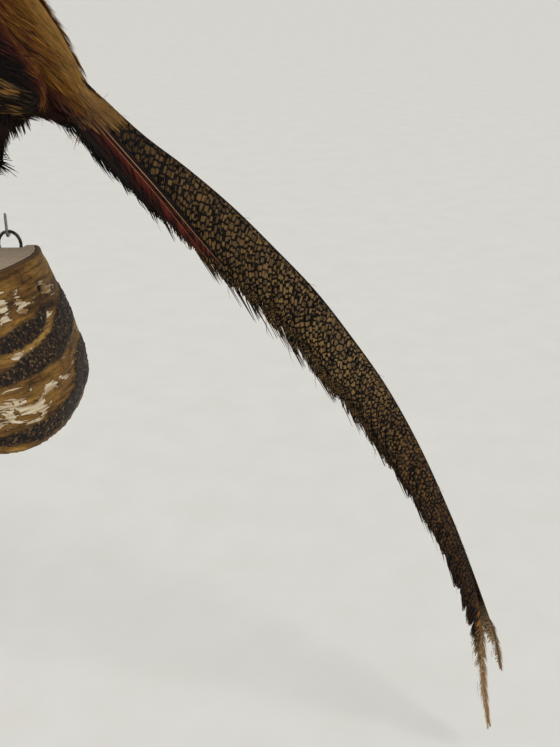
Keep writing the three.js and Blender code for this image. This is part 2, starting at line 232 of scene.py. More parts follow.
def point_attribute(obj, name, values):
    """A number, or a colour, kept at each vertex for the materials to read."""
    kind, field = ("FLOAT", "value") if values.ndim == 1 else ("FLOAT_COLOR", "color")
    made = obj.data.attributes.new(name, kind, "POINT")
    made.data.foreach_set(field, values.astype(np.float32).ravel())


def one_colour(obj, colour):
    """The same marking at every point of a bed."""
    point_attribute(obj, "plumage", np.tile(np.array(colour), (len(obj.data.vertices), 1)))


def sink(obj, depth):
    """Moves a skin or a bed in along its normals, to make room for the coat."""
    set_points(obj, points_of(obj) - normals_of(obj) * depth)


def unit(vectors):
    """The same directions with length 1."""
    return vectors / np.maximum(np.linalg.norm(vectors, axis=-1, keepdims=True), 1e-9)


def ease(low, high, values):
    """0 below low, 1 above high, with a soft step between."""
    share = np.clip((values - low) / (high - low), 0, 1)
    return share * share * (3 - 2 * share)


def fade(low, high, values):
    """1 below low, 0 above high, with a soft step between."""
    return 1 - ease(low, high, values)


def within(values, low, full, ebb, high):
    """1 from full to ebb, with soft steps down to low and high."""
    return ease(low, full, values) * fade(ebb, high, values)


# %% [markdown]
# ## The log bracket
# The bracket is a short length of smooth-barked log, sawn flat above, below and behind. The solid
# is copied finely enough to carry relief, and each vertex keeps what grows there: sawn wood or
# bark, how near the rim it is, and the rough dark rings that run round the log.

# %% Shape the bark
log = smooth_copy("log_bracket", ["log"], 2.1 * MM, 2)
spots, facing = points_of(log), normals_of(log)
RING_X = (57 * MM, -36 * MM)
pocket = sum(ease(12.5 * MM, 11.5 * MM, np.abs(spots[:, 0] - x)) for x in RING_X)
pocket = pocket * ease(-9 * MM, -8 * MM, spots[:, 1]) * ease(28 * MM, 29 * MM, spots[:, 2])
bark = fade(0.45, 0.75, np.abs(facing[:, 2])) * fade(0.3, 0.6, facing[:, 1])
bark = bark * fade(-2.5 * MM, -1.0 * MM, spots[:, 1]) * (1 - np.clip(pocket, 0, 1))
rim_points = spots[bark > 0.6]
rim = np.concatenate([
    np.sqrt(((chunk[:, None] - rim_points[None]) ** 2).sum(-1).min(1))
    for chunk in np.array_split(spots.astype(np.float32), 60)
])


def field(points, scale, seed):
    """Smooth noise at each point, from -1 to 1."""
    return np.array([noise.noise(Vector(p)) for p in (points * scale + seed).tolist()])


# Each rough band: angle round the log in degrees, then its lower and upper edge in millimetres.
BANDS = (
    [(-180, 14, 24), (-60, 12, 23), (0, 10, 21), (45, 11, 22), (62, 11, 24), (71, 13, 27),
     (80, 16, 29), (88, 23, 32), (92, 31, 31), (180, 31, 31)],
    [(-180, -4, 7), (-60, -9, 3), (0, -11, -1), (47, -10, 0), (56, -10, 3), (66, -9, 8), (75, -8, 10),
     (84, -7, 14), (94, -4, 20), (100, 0, 26), (118, 8, 32), (180, 10, 28)],
    [(-180, -57, -46), (0, -57, -47), (44, -56, -45), (55, -57, -42), (64, -59, -40), (75, -58, -38),
     (86, -56, -35), (94, -55, -16), (102, -50, -10), (180, -48, -12)],
)
# Torn patches: angle, height, half width in degrees, half height in millimetres.
TORN = ((52, -30, 12, 11), (76, 40, 4, 9), (65, 43, 4, 9), (62, 34, 5, 4), (98, 39, 4, 6), (89, 23, 3, 3),
        (60, 8, 5, 3), (70, -21, 6, 4), (79, -22, 4, 3), (62, -30, 6, 6), (94, -20, 4, 4), (20, 44, 10, 8),
        (-20, -30, 14, 9), (-70, 30, 12, 9), (-58, -28, 9, 10), (8, 4, 9, 3), (40, 40, 6, 8))
turn = np.degrees(np.arctan2(spots[:, 0], -spots[:, 1] - 50 * MM))
height = spots[:, 2] / MM + field(spots, 60, 3) * 2.2 + field(spots, 240, 4) * 1.0
band, torn = np.zeros(len(spots)), np.zeros(len(spots))
for edges in BANDS:
    low, high = (np.interp(turn, *np.array(edges).T[[0, i]]) for i in (1, 2))
    inside = ease(-0.9, 0.9, height - low) * ease(-0.9, 0.9, high - height) * ease(0.5, 3, high - low)
    band = np.maximum(band, inside)
for at, level, wide, tall in TORN:
    torn = np.maximum(torn, np.exp(-((turn - at) / wide) ** 2 - ((height - level) / tall) ** 2))
band = band * bark
torn = torn * bark * (1 - band)
knot = np.clip(2 * np.exp(-((spots - np.array([88, -42, 42]) * MM) ** 2).sum(1) / (2.8 * MM) ** 2), 0, 1)
grain = field(spots, 420, 5) * 0.6 + field(spots, 900, 6) * 0.4
relief = band * (0.9 + grain * 1.2) + (1 - band) * bark * field(spots * np.array([1, 1, 2.5]), 60, 7) * 0.6
relief = relief - knot * 2.5 - torn * 0.5
set_points(log, spots + facing * (relief * MM)[:, None])
point_attribute(log, "bark", bark)
point_attribute(log, "band", band)
point_attribute(log, "rim", rim)
point_attribute(log, "torn", torn)
point_attribute(log, "knot", knot)

# %% [markdown]
# The finish is mixed from these: pale sawn wood with faint growth rings, a dark line of bark round
# the cut, olive bark with torn whitish patches whose edges run round the log, and the granular rings.


# %% Bark and sawn wood
def bark_colour(material, band, torn, knot):
    """The bark's colour, and the two noises that also raise it: its tears and its grit."""
    broad = noise_of(material, (16, 16, 46), 7.0, Distortion=0.6)
    olive = ramp(material, broad, [
        (0.34, paint(58, 38, 18)), (0.44, paint(104, 74, 32)), (0.58, paint(136, 102, 48)),
        (0.68, paint(158, 124, 66)),
    ])
    streak = noise_of(material, (40, 40, 420), 5.0)
    fine = ramp(material, streak, [(0.36, (0.5, 0.45, 0.4, 1)), (0.54, (1.1, 1.07, 1.0, 1))])
    olive = times(material, olive, fine)
    fleck = noise_of(material, (130, 130, 330), 6.0, Roughness=0.7)
    flecks = ramp(material, fleck, [(0.38, (0.45, 0.42, 0.4, 1)), (0.46, WHITE), (0.60, WHITE),
                                    (0.68, grey(1.7))])
    olive = times(material, olive, flecks)
    tear = noise_of(material, (55, 55, 190), 9.0, Roughness=0.65, Distortion=1.2)
    edge = total(material, tear, product(material, torn, 0.24))
    patch = step(material, edge, 0.645, 0.665)
    pale = ramp(material, streak, [(0.36, paint(138, 108, 66)), (0.6, paint(214, 200, 172))])
    lip = ramp(material, edge, [(0.605, WHITE), (0.636, (0.36, 0.3, 0.25, 1)), (0.652, WHITE)])
    smooth_bark = times(material, mix(material, patch, olive, pale), lip)
    grit = noise_of(material, 430.0, 5.0, Roughness=0.6)
    # The grit's pale grains and black pits follow the noise that also raises it in the bump: partly its own
    # flecked colour, partly painted highlight and painted shade.
    rough = ramp(material, grit, [
        (0.40, paint(12, 9, 7)), (0.53, paint(40, 29, 18)), (0.62, paint(84, 62, 38)),
        (0.72, paint(170, 140, 100)),
    ])
    outer = mix(material, band, smooth_bark, rough)
    return mix(material, knot, outer, paint(10, 7, 5)), tear, grit


def wood_colour(material, rim):
    """Sawn wood with faint growth rings, saw marks and a dark ring where the bark begins."""
    rings = node(material, "TexWave", {"Vector": place_of(material, (1, 1, 0.02)), "Scale": 62.0,
                                       "Distortion": 6.0, "Detail": 3.0, "Detail Scale": 0.6},
                 wave_type="RINGS", rings_direction="Z")
    wood = ramp(material, rings.outputs["Fac"], [(0.0, paint(168, 148, 124)), (0.8, paint(178, 160, 137))])
    saw = noise_of(material, (16, 260, 16), 4.0)
    scored = ramp(material, saw, [(0.35, (0.84, 0.82, 0.80, 1)), (0.6, WHITE)])
    wood = times(material, wood, scored)
    ring_of_bark = ramp(material, product(material, rim, 1000.0 / 10), [
        (0.22, paint(126, 100, 66)), (0.32, paint(150, 124, 88)), (0.38, paint(34, 24, 16)),
        (0.44, paint(34, 24, 16)), (0.50, WHITE),
    ])
    return times(material, wood, ring_of_bark)


def bark_material():
    material, shader = new_material("bark_and_sawn_wood", Roughness=0.6, Specular_IOR_Level=0.2)
    bark, band, rim, torn, knot = (
        node(material, "Attribute", attribute_name=name).outputs["Fac"]
        for name in ("bark", "band", "rim", "torn", "knot")
    )
    outer, tear, grit = bark_colour(material, band, torn, knot)
    wire(material, mix(material, bark, wood_colour(material, rim), outer), shader.inputs["Base Color"])
    bump(material, shader, mix(material, band, tear, grit), 0.8, 1.3 * MM)
    return material


dress(log, bark_material(), "log_bark", "log")

# %% [markdown]
# ## Iron and horn
# Two black iron rings on straps sit in pockets in the log's back, each over a bent steel hook. The
# bird's legs, claws, spurs and bill are dry scale and horn. The solids already have their shapes, so
# fine smooth copies carry the details: rows of scutes on the legs, and a nostril on the bill.


# %% Metal
def metal_material(name, colour, rough):
    material, shader = new_material(name, Metallic=1.0)
    wear = noise_of(material, 300.0, 5.0)
    wire(material, ramp(material, wear, [(0.35, colour), (0.75, paint(120, 116, 110))]),
         shader.inputs["Base Color"])
    wire(material, ramp(material, wear,
                        [(0.3, grey(rough)), (0.7, grey(rough + 0.2))]),
         shader.inputs["Roughness"])
    bump(material, shader, wear, 0.2, 0.2 * MM)
    return material


iron = metal_material("black_iron", paint(34, 34, 38), 0.32)
steel = metal_material("hook_wire", paint(170, 170, 174), 0.22)
for place in ("near_tail", "near_breast"):
    ring = smooth_copy(f"hanging_ring_{place}", [f"ring_{place}"], 0.5 * MM, 4)
    dress(ring, iron, "black_iron", f"ring_{place}")
    hook = smooth_copy(f"wall_hook_{place}", [f"hook_{place}"], 0.4 * MM, 3)
    dress(hook, steel, "hook_steel", f"hook_{place}")
    strap = smooth_copy(f"ring_strap_{place}", [f"strap_{place}"], 0.5 * MM, 2)
    dress(strap, iron, "black_iron", f"strap_{place}")


# %% [markdown]
# Horn grows in fine streaks and is pale where it is worn, and a bird's leg is covered in small dry
# plates. The streaks are noise drawn out on one axis. The rows of plates are raised in the mesh and
# kept at each vertex, so that the creases between them can be painted darker, as painted shade.


# %% Horn and scales
def horn_material(name, dark, light, rough=0.35):
    material, shader = new_material(name, Roughness=rough, Coat_Weight=0.2, Coat_Roughness=0.25)
    grain = noise_of(material, (120, 700, 900), 6.0)
    colour = ramp(material, grain, [(0.3, dark), (0.7, light)])
    dent = node(material, "Attribute", attribute_name="dent").outputs["Fac"]
    # A dent, such as the nostril, is painted dark: painted shade in its hollow.
    colour = mix(material, product(material, dent, 0.75), colour, paint(30, 20, 12))
    wire(material, colour, shader.inputs["Base Color"])
    bump(material, shader, grain, 0.25, 0.2 * MM)
    return material


def scale_material():
    material, shader = new_material("dry_leg_scales", Roughness=0.5)
    row = node(material, "Attribute", attribute_name="scute").outputs["Fac"]
    blotch = noise_of(material, 260.0, 5.0)
    plate = ramp(material, blotch, [(0.3, paint(120, 96, 56)), (0.7, paint(182, 154, 98))])
    # The sunk creases between the rows are painted darker: painted shade.
    crease = ramp(material, row, [(0.0, paint(70, 54, 34)), (0.35, WHITE)])
    wire(material, times(material, plate, crease), shader.inputs["Base Color"])
    cells = node(material, "TexVoronoi", {"Vector": place_of(material, 700.0), "Scale": 1.0},
                 feature="DISTANCE_TO_EDGE")
    bump(material, shader, cells.outputs["Distance"], 0.35, 0.3 * MM)
    return material


claw_horn = horn_material("dark_claw_horn", paint(44, 34, 26), paint(96, 80, 60))
bill_horn = horn_material("pale_bill_horn", paint(128, 98, 52), paint(182, 150, 92), 0.38)
leg_scales = scale_material()
FOOT_HUB_X, LEG_ASIDE = 28 * MM, 15.5 * MM
TOE_SCUTE, SHANK_SCUTE = 2.9 * MM, 3.4 * MM  # the height of one row of scales
for side, sign in (("left", -1), ("right", 1)):
    leg = smooth_copy(f"leg_{side}", [f"shank_{side}", f"foot_{side}"], 0.75 * MM, 4)
    spots, facing = points_of(leg), normals_of(leg)
    hub = np.array([FOOT_HUB_X, BODY_Y + sign * LEG_ASIDE])
    reach = np.linalg.norm(spots[:, :2] - hub, axis=1)
    on_toe = fade(72 * MM, 76 * MM, spots[:, 2])
    scute = np.where(on_toe > 0.5, reach / TOE_SCUTE, spots[:, 2] / SHANK_SCUTE)
    rows = np.abs(np.sin(np.pi * scute)) ** 0.6
    front = np.where(on_toe > 0.5, ease(0.0, 0.5, facing[:, 2]), ease(0.0, 0.4, -facing[:, 0]))
    rows = 1 - (1 - rows) * front
    set_points(leg, spots + facing * ((rows - 0.8) * 0.35 * MM)[:, None])
    point_attribute(leg, "scute", rows)
    dress(leg, leg_scales, "leg_scale", f"shank_{side}", f"foot_{side}")
    for part in [f"claw_{toe}_{side}" for toe in ("inner", "middle", "outer", "hind")] + [f"spur_{side}"]:
        dress(smooth_copy(f"horn_{part}", [part], 0.38 * MM, 3), claw_horn, "horn_claw", part)

# %% [markdown]
# The bill's two halves meet in a fine dark gape. A nostril is pressed into each side of the upper
# half, under a small horny flap, and painted dark inside as painted shade.

# %% Bill
NOSTRIL, NOSTRIL_SIZE = np.array([-118.5, 439.2]) * MM, np.array([2.0, 0.7]) * MM
for half in ("upper", "lower"):
    bill = smooth_copy(f"horn_bill_{half}", [f"bill_{half}"], 0.42 * MM, 2)
    spots, facing = points_of(bill), normals_of(bill)
    spots = spots + facing * 0.22 * MM
    spots[:, 0] += ease(-118 * MM, -114 * MM, spots[:, 0]) * 4 * MM
    if half == "upper":
        along, up = ((spots[:, [0, 2]] - NOSTRIL) / NOSTRIL_SIZE).T
        dent = np.exp(-(along**2 + up**2))
        spots[:, 1] -= np.sign(spots[:, 1] - BODY_Y) * dent * 0.9 * MM
        point_attribute(bill, "dent", dent)
    else:
        spots[:, 2] += (0.5 + 0.8 * fade(-130 * MM, -118 * MM, spots[:, 0])) * MM
    set_points(bill, spots)
    dress(bill, bill_horn, "horn_bill", f"bill_{half}")

# %% [markdown]
# A taxidermist sets glass eyes into the skin and models the lids round them. The eye is a sphere
# with rings of colour painted round the pupil, and the lid is a torus drawn out towards its corners.


# %% Eyes
EYE = np.array([-99.5, 10.6, 441]) * MM


def eye_material():
    material, shader = new_material("glass_eye", Roughness=0.08, Specular_IOR_Level=0.15,
                                    Coat_Weight=0.7, Coat_Roughness=0.02)
    where = node(material, "Mapping", {"Vector": node(material, "TexCoord").outputs["Object"],
                                       "Location": (-EYE[0], 0, -EYE[2])}).outputs[0]
    across = node(material, "VectorMath", {0: where, 1: (1, 0, 1)}, operation="MULTIPLY").outputs[0]
    out = node(material, "VectorMath", {0: across}, operation="LENGTH").outputs["Value"]
    ring = ramp(material, product(material, out, 200.0), [
        (0.27, grey(0.001)), (0.31, paint(110, 82, 20)), (0.42, paint(206, 170, 60)),
        (0.62, paint(176, 134, 40)), (0.74, paint(30, 18, 10)),
    ])
    wire(material, ring, shader.inputs["Base Color"])
    return material


glass = eye_material()
lid_skin, lid_shader = new_material("bare_eyelid", Roughness=0.5)
wrinkle = noise_of(lid_skin, 1500.0, 3.0)
wire(lid_skin, ramp(lid_skin, wrinkle, [(0.3, paint(128, 92, 44)), (0.7, paint(176, 138, 76))]),
     lid_shader.inputs["Base Color"])
bump(lid_skin, lid_shader, wrinkle, 0.5, 0.2 * MM)
for side, sign in (("left", -1), ("right", 1)):
    bpy.ops.object.select_all(action="DESELECT")
    centre = (EYE[0], BODY_Y + sign * EYE[1], EYE[2])
    bpy.ops.mesh.primitive_uv_sphere_add(segments=48, ring_count=28, radius=4.6 * MM, location=centre)
    eye = bpy.context.object
    eye.name = f"glass_eye_{side}"
    bpy.ops.object.transform_apply(location=True)
    eye.data.shade_smooth()
    dress(eye, glass, "eye_glass", f"eye_{side}")
    bpy.ops.object.select_all(action="DESELECT")
    rim_place = (EYE[0], BODY_Y + sign * 13.0 * MM, EYE[2])
    bpy.ops.mesh.primitive_torus_add(major_radius=4.1 * MM, minor_radius=0.65 * MM, major_segments=56,
                                     minor_segments=14, location=rim_place, rotation=(math.pi / 2, 0, 0))
    lid = bpy.context.object
    lid.name = f"eyelid_{side}"
    bpy.ops.object.transform_apply(location=True, rotation=True)
    spots = points_of(lid) - np.array(rim_place)
    corner = np.abs(spots[:, 0]) / (4.9 * MM)
    spots[:, 0] *= 1 + 0.22 * corner**3
    spots[:, 2] *= 0.90 - 0.10 * corner
    spots[:, 1] -= sign * (1.5 * MM * corner**2)
    crease = field(points_of(lid), 1200, 8) * 0.14 * MM
    set_points(lid, spots + np.array(rim_place) + normals_of(lid) * crease[:, None])
    lid.data.shade_smooth()
    dress(lid, lid_skin, "feather_head")

# %% [markdown]
# ## The bird's own coordinates
# Feathers need to know where they are on the bird. A line from the bill through neck and trunk to
# the tail root gives each point a distance back along the bird, a direction to lie in, and an angle
# round the body, 0 along the back and pi under the belly.

# %% The spine
SPINE = np.array([
    (-117, 435), (-98, 437), (-88, 431), (-80, 421), (-75, 405), (-71, 384), (-65, 358),
    (-51, 328), (-23, 296), (15, 265), (56, 237), (90, 217), (116, 205), (134, 188), (150, 171),
]) * MM
steps = np.linspace(0, len(SPINE) - 1, 240)
LINE = np.stack([np.interp(steps, np.arange(len(SPINE)), SPINE[:, i]) for i in (0, 1)], 1)
for _ in range(40):
    LINE[1:-1] = (LINE[:-2] + 2 * LINE[1:-1] + LINE[2:]) / 4
LINE_AT = np.r_[0, np.cumsum(np.linalg.norm(np.diff(LINE, axis=0), axis=1))]
LINE_WAY = unit(np.gradient(LINE, axis=0))
SPINE_LENGTH = LINE_AT[-1]


def on_bird(points):
    """Distance back along the spine, the spine's direction there, and the angle round it."""
    found = []
    for chunk in np.array_split(points, max(1, len(points) // 4000)):
        gap = chunk[:, None, [0, 2]] - LINE[None]
        found.append((gap ** 2).sum(-1).argmin(1))
    found = np.concatenate(found)
    way = LINE_WAY[found]
    offset = points[:, [0, 2]] - LINE[found]
    height = offset[:, 1] * way[:, 0] - offset[:, 0] * way[:, 1]
    angle = np.arctan2(points[:, 1] - BODY_Y, height)
    return LINE_AT[found], np.stack([way[:, 0], 0 * way[:, 0], way[:, 1]], 1), angle


print("spine length", round(SPINE_LENGTH, 3))

# %% [markdown]
# ## One skin
# Head, neck, trunk and thighs become a single skin, sunk inside the solids by the depth of the coat:
# a millimetre on the face and about five on the breast. The skin carries the same markings as the
# feathers above it, so that no gap between them shows a wrong colour.

# %% The plumage map
GOLD = paint(134, 91, 33)
GOLD_PALE = paint(204, 160, 86)
RUST = paint(150, 84, 40)
SCARLET = paint(128, 36, 22)
MAROON = paint(84, 32, 22)
GREEN = paint(44, 66, 40)
TAN = paint(164, 112, 70)
# Near black: partly the dark chestnut of the plumage, partly painted shade low under the body.
VENT = paint(34, 24, 18)


WRIST = np.array([-66, 300]) * MM
WING_ALONG, WING_UP = np.array([0.873, -0.486]), np.array([0.486, 0.873])


def in_wing_plane(points):
    """Points as distances along the folded wing from its wrist, and up across it."""
    flat = points[:, [0, 2]] - WRIST
    return flat @ WING_ALONG, flat @ WING_UP


def above_flank_line(points):
    """Height above the line on the flank where the gold ends and maroon begins."""
    along, up = in_wing_plane(points)
    return up - (32 * MM - 0.65 * (np.maximum(along, 140 * MM) - 173 * MM))


def plumage(points):
    """The marking at each point of the body, as linear colour."""
    back, _, angle = on_bird(points)
    back, side = back / MM, np.degrees(np.abs(angle))
    colour = np.tile(np.array(SCARLET), (len(points), 1))

    def lay_over(new, share):
        colour[:] = colour + (np.array(new) - colour) * share[:, None]

    lay_over(MAROON, ease(230, 330, back) * ease(70, 100, side))
    lay_over(RUST, fade(70, 120, back))
    lay_over(GREEN, within(back, 120, 135, 205, 222) * fade(68, 84, side))
    above = above_flank_line(points) / MM
    lay_over(paint(70, 30, 22), ease(236, 262, back) * fade(0, 6, above))
    lay_over(VENT, ease(262, 300, back) * fade(-19, -10, above))
    lay_over(GOLD, ease(205, 222, back) * ease(-2, 5, above))
    lay_over(TAN, fade(38, 60, back))
    lay_over(GOLD, fade(50, 90, back) * fade(48, 66, side))
    thigh = fade(186 * MM, 204 * MM, points[:, 2]) * fade(84 * MM, 92 * MM, points[:, 0])
    lay_over(paint(62, 38, 22), thigh)
    lay_over(VENT, thigh * ease(44 * MM, 66 * MM, points[:, 0]))
    return colour


def coat_depth(points):
    """How far the skin lies inside the coat's outline."""
    back, _, _ = on_bird(points)
    depth = 1.1 + 2.4 * ease(34, 70, back / MM) + 2.0 * ease(90, 160, back / MM)
    return depth * MM


skin = smooth_copy("skin", ["head", "neck", "trunk", "thigh_left", "thigh_right", "eye_left", "eye_right"],
                   2.2 * MM, 5)
sink(skin, coat_depth(points_of(skin))[:, None])
modify(skin, "SMOOTH", factor=0.5, iterations=4)
point_attribute(skin, "plumage", plumage(points_of(skin)))

# %% [markdown]
# The skin's finish reads that marking, darkens it as the shade under a coat does, and breaks it up
# with fine noise drawn out along the bird.


# %% Skin finish
def plumage_material(name, shade=1.0, rough=0.75, sheen=0.08):
    """A feathery finish whose colour comes from the plumage attribute. Shade below 1 darkens it all, as
    painted shade under a coat.
    """
    material, shader = new_material(name, Roughness=rough, Sheen_Weight=sheen, Sheen_Roughness=0.5,
                                    Specular_IOR_Level=0.12)
    marking = node(material, "Attribute", attribute_name="plumage").outputs["Color"]
    speck = noise_of(material, 900.0, 3.0)
    shades = ramp(material, speck,
                  [(0.3, grey(0.72 * shade)), (0.7, grey(1.2 * shade))])
    wire(material, times(material, marking, shades), shader.inputs["Base Color"])
    bump(material, shader, speck, 0.3, 0.4 * MM)
    return material


dress(skin, plumage_material("skin_under_down", 0.42), "feather_body",
      "head", "neck", "trunk", "thigh_left", "thigh_right")

# %% [markdown]
# ## Laying lines over a surface
# To lay thousands of feathers, each is walked over the surface below in a few steps: forward along
# the lie of the coat, then back down onto the surface, then up by its lift. Doing this by hand for
# every feather would take weeks, so all the lines are worked out together as arrays.


# %% Surfaces to lay on
class Surface:
    """A mesh to lay feathers on."""

    def __init__(self, obj):
        obj.data.calc_loop_triangles()
        points = points_of(obj)
        triangles = np.array([t.vertices[:] for t in obj.data.loop_triangles])
        self.tree = BVHTree.FromPolygons(points.tolist(), triangles.tolist())
        self.corners = points[triangles]
        first, second, third = self.corners.transpose(1, 0, 2)
        self.areas = np.linalg.norm(np.cross(second - first, third - first), axis=1) / 2

    def nearest(self, points):
        """The nearest points on the surface, and the normals there."""
        found = [self.tree.find_nearest(p)[:2] for p in points.tolist()]
        return np.array([f[0][:] for f in found]), np.array([f[1][:] for f in found])

    def towards(self, points, ways):
        """Where rays meet the surface, its normals, and whether each ray meets it."""
        found = [self.tree.ray_cast(p, w)[:2] for p, w in zip(points.tolist(), ways.tolist())]
        hit = np.array([f[0] is not None for f in found])
        spots = np.array([f[0][:] if f[0] is not None else p for f, p in zip(found, points)])
        normals = np.array([f[1][:] if f[0] is not None else (0, 0, 1) for f in found])
        return spots, normals, hit

    def scatter(self, count, density, seed):
        """Random points spread evenly over the surface, as thick as the density asks."""
        rng = np.random.default_rng(seed)
        weights = self.areas * density(self.corners.mean(1))
        picked = self.corners[rng.choice(len(weights), count, p=weights / weights.sum())]
        share = np.sort(rng.random((count, 2)), axis=1)
        parts = np.stack([share[:, 0], share[:, 1] - share[:, 0], 1 - share[:, 1]], 1)
        return (picked * parts[..., None]).sum(1)


def lay(surface, roots, flow, lengths, stations, lifts):
    """Feather lines walked over a surface: points and normals, each (count, stations, 3)."""
    spots, normals = surface.nearest(roots)
    lines, ups = [spots], [normals]
    for _ in range(stations - 1):
        here, up = lines[-1], ups[-1]
        ahead = here + flow(here, up) * (lengths / (stations - 1))[:, None]
        onto, normal = surface.nearest(ahead)
        strayed = np.linalg.norm(onto - ahead, axis=1) > np.maximum(3 * MM, 0.5 * lengths / (stations - 1))
        lines.append(np.where(strayed[:, None], ahead, onto))
        ups.append(np.where(strayed[:, None], up, unit(normal + up)))
    lines, ups = np.stack(lines, 1), np.stack(ups, 1)
    return lines + ups * lifts[..., None], ups


# %% [markdown]
# ## From lines to one closed mesh
# A feather or a strand is a row of small cross-sections from root to tip, closed at both ends. All
# of one kind are joined into one mesh. A UV map called OFBake keeps a small patch for each tuft
# where its root is on the unrolled bird, so that its colour can be baked there.

# %% Cross-sections and joined meshes
VANE = ((-1, -0.6), (0, 1), (1, -0.6), (0, -1))
STRAND = ((-1, 0), (0, 1.1), (1, 0))


def rings_along(lines, ups, widths, thickness, section):
    """The cross-sections of many feathers: (count, stations, sides, 3)."""
    ways = unit(np.gradient(lines, axis=1))
    across = unit(np.cross(ways, ups))
    ups = np.cross(across, ways)
    sides = [
        lines + across * (a * widths)[..., None] + ups * (b * thickness)[..., None]
        for a, b in section
    ]
    return np.stack(sides, 2)


def join_lofts(name, rings, colours, bake, vane=None):
    """One mesh of many closed lofts, with their colours and UV maps."""
    count, stations, sides, _ = rings.shape
    index = np.arange(count * stations * sides).reshape(count, stations, sides)
    low, high = index[:, :-1], index[:, 1:]
    quads = np.stack([low, high, np.roll(high, -1, 2), np.roll(low, -1, 2)], -1).reshape(-1, 4)
    caps = np.concatenate([index[:, 0], index[:, -1, ::-1]])
    first = rings[0].reshape(-1, 3) - rings[0].reshape(-1, 3).mean(0)
    faces = quads[: (stations - 1) * sides]
    a, b, c, d = (first[faces[:, i]] for i in range(4))
    if (np.cross(b - a, c - a) * a).sum() + (np.cross(c - a, d - a) * a).sum() < 0:
        quads, caps = quads[:, ::-1], caps[:, ::-1]
    loops = np.concatenate([quads.ravel(), caps.ravel()])
    totals = np.concatenate([np.full(len(quads), 4), np.full(len(caps), sides)])
    mesh = bpy.data.meshes.new(name)
    mesh.vertices.add(index.size)
    mesh.vertices.foreach_set("co", rings.astype(np.float32).ravel())
    mesh.loops.add(len(loops))
    mesh.loops.foreach_set("vertex_index", loops.astype(np.int32))
    mesh.polygons.add(len(totals))
    mesh.polygons.foreach_set("loop_start", np.r_[0, np.cumsum(totals)[:-1]].astype(np.int32))
    mesh.update(calc_edges=True)
    mesh.validate()
    mesh.shade_smooth()
    for layer, values in (("OFBake", bake), ("Vane", vane)):
        if values is not None:
            flat = np.broadcast_to(values, (count, stations, sides, 2)).reshape(-1, 2)
            corner = np.empty(len(mesh.loops), np.int32)
            mesh.loops.foreach_get("vertex_index", corner)
            mesh.uv_layers.new(name=layer).data.foreach_set("uv", flat[corner].astype(np.float32).ravel())
    obj = bpy.data.objects.new(name, mesh)
    bpy.context.scene.collection.objects.link(obj)
    full = np.ones((count, stations, sides, 4))
    full[..., :3] = np.broadcast_to(colours[..., None, :3], (count, stations, sides, 3))
    point_attribute(obj, "plumage", full.reshape(-1, 4))
    return obj


PATCH = 0.003  # the side of one tuft's patch on the bake map


def root_patches(roots, stations, sides):
    """A small patch of the bake map for each feather, where its root is on the unrolled bird."""
    back, _, angle = on_bird(roots)
    corner = np.stack([0.02 + 0.95 * back / SPINE_LENGTH, 0.5 + 0.475 * angle / math.pi], 1)
    along = np.linspace(0, PATCH, stations)[None, :, None]
    aside = np.linspace(0, PATCH, sides)[None, None, :]
    patch = np.zeros((len(roots), stations, sides, 2))
    patch[..., 0] = corner[:, 0, None, None] + along
    patch[..., 1] = corner[:, 1, None, None] + aside
    return patch


# %% [markdown]
# ## One call for a coat
# A real coat lies in a direction, and no two feathers lie quite alike. So a direction is a function
# of the place, each root keeps its own small disorder, and feathers that share a clump share most
# of their length and tone. With that in one function, each part of the plumage is a single call.


# %% How a coat lies, and the coat itself
def lie(direction, scatter, seed, flat=1.0):
    """A flow for lay: the direction at each point, with a little disorder, laid on the surface."""
    rng = np.random.default_rng(seed)
    stray = {}

    def flow(points, ups):
        if len(points) not in stray:
            stray[len(points)] = rng.normal(0, scatter, (len(points), 3))
        way = direction(points) + stray[len(points)]
        return unit(way - ups * (way * ups).sum(1)[:, None] * flat)

    return flow


def lie_of_coat(droop=0.0, scatter=0.0, seed=0):
    """The direction that most of the coat lies in: back along the bird, with a droop."""
    return lie(lambda points: on_bird(points)[1] + np.array([0, 0, -droop]), scatter, seed)


def taper(stations, root, middle, tip):
    """A width along a feather: at its root, its middle and its tip."""
    return np.interp(np.linspace(0, 1, stations), [0, 0.45, 1], [root, middle, tip])


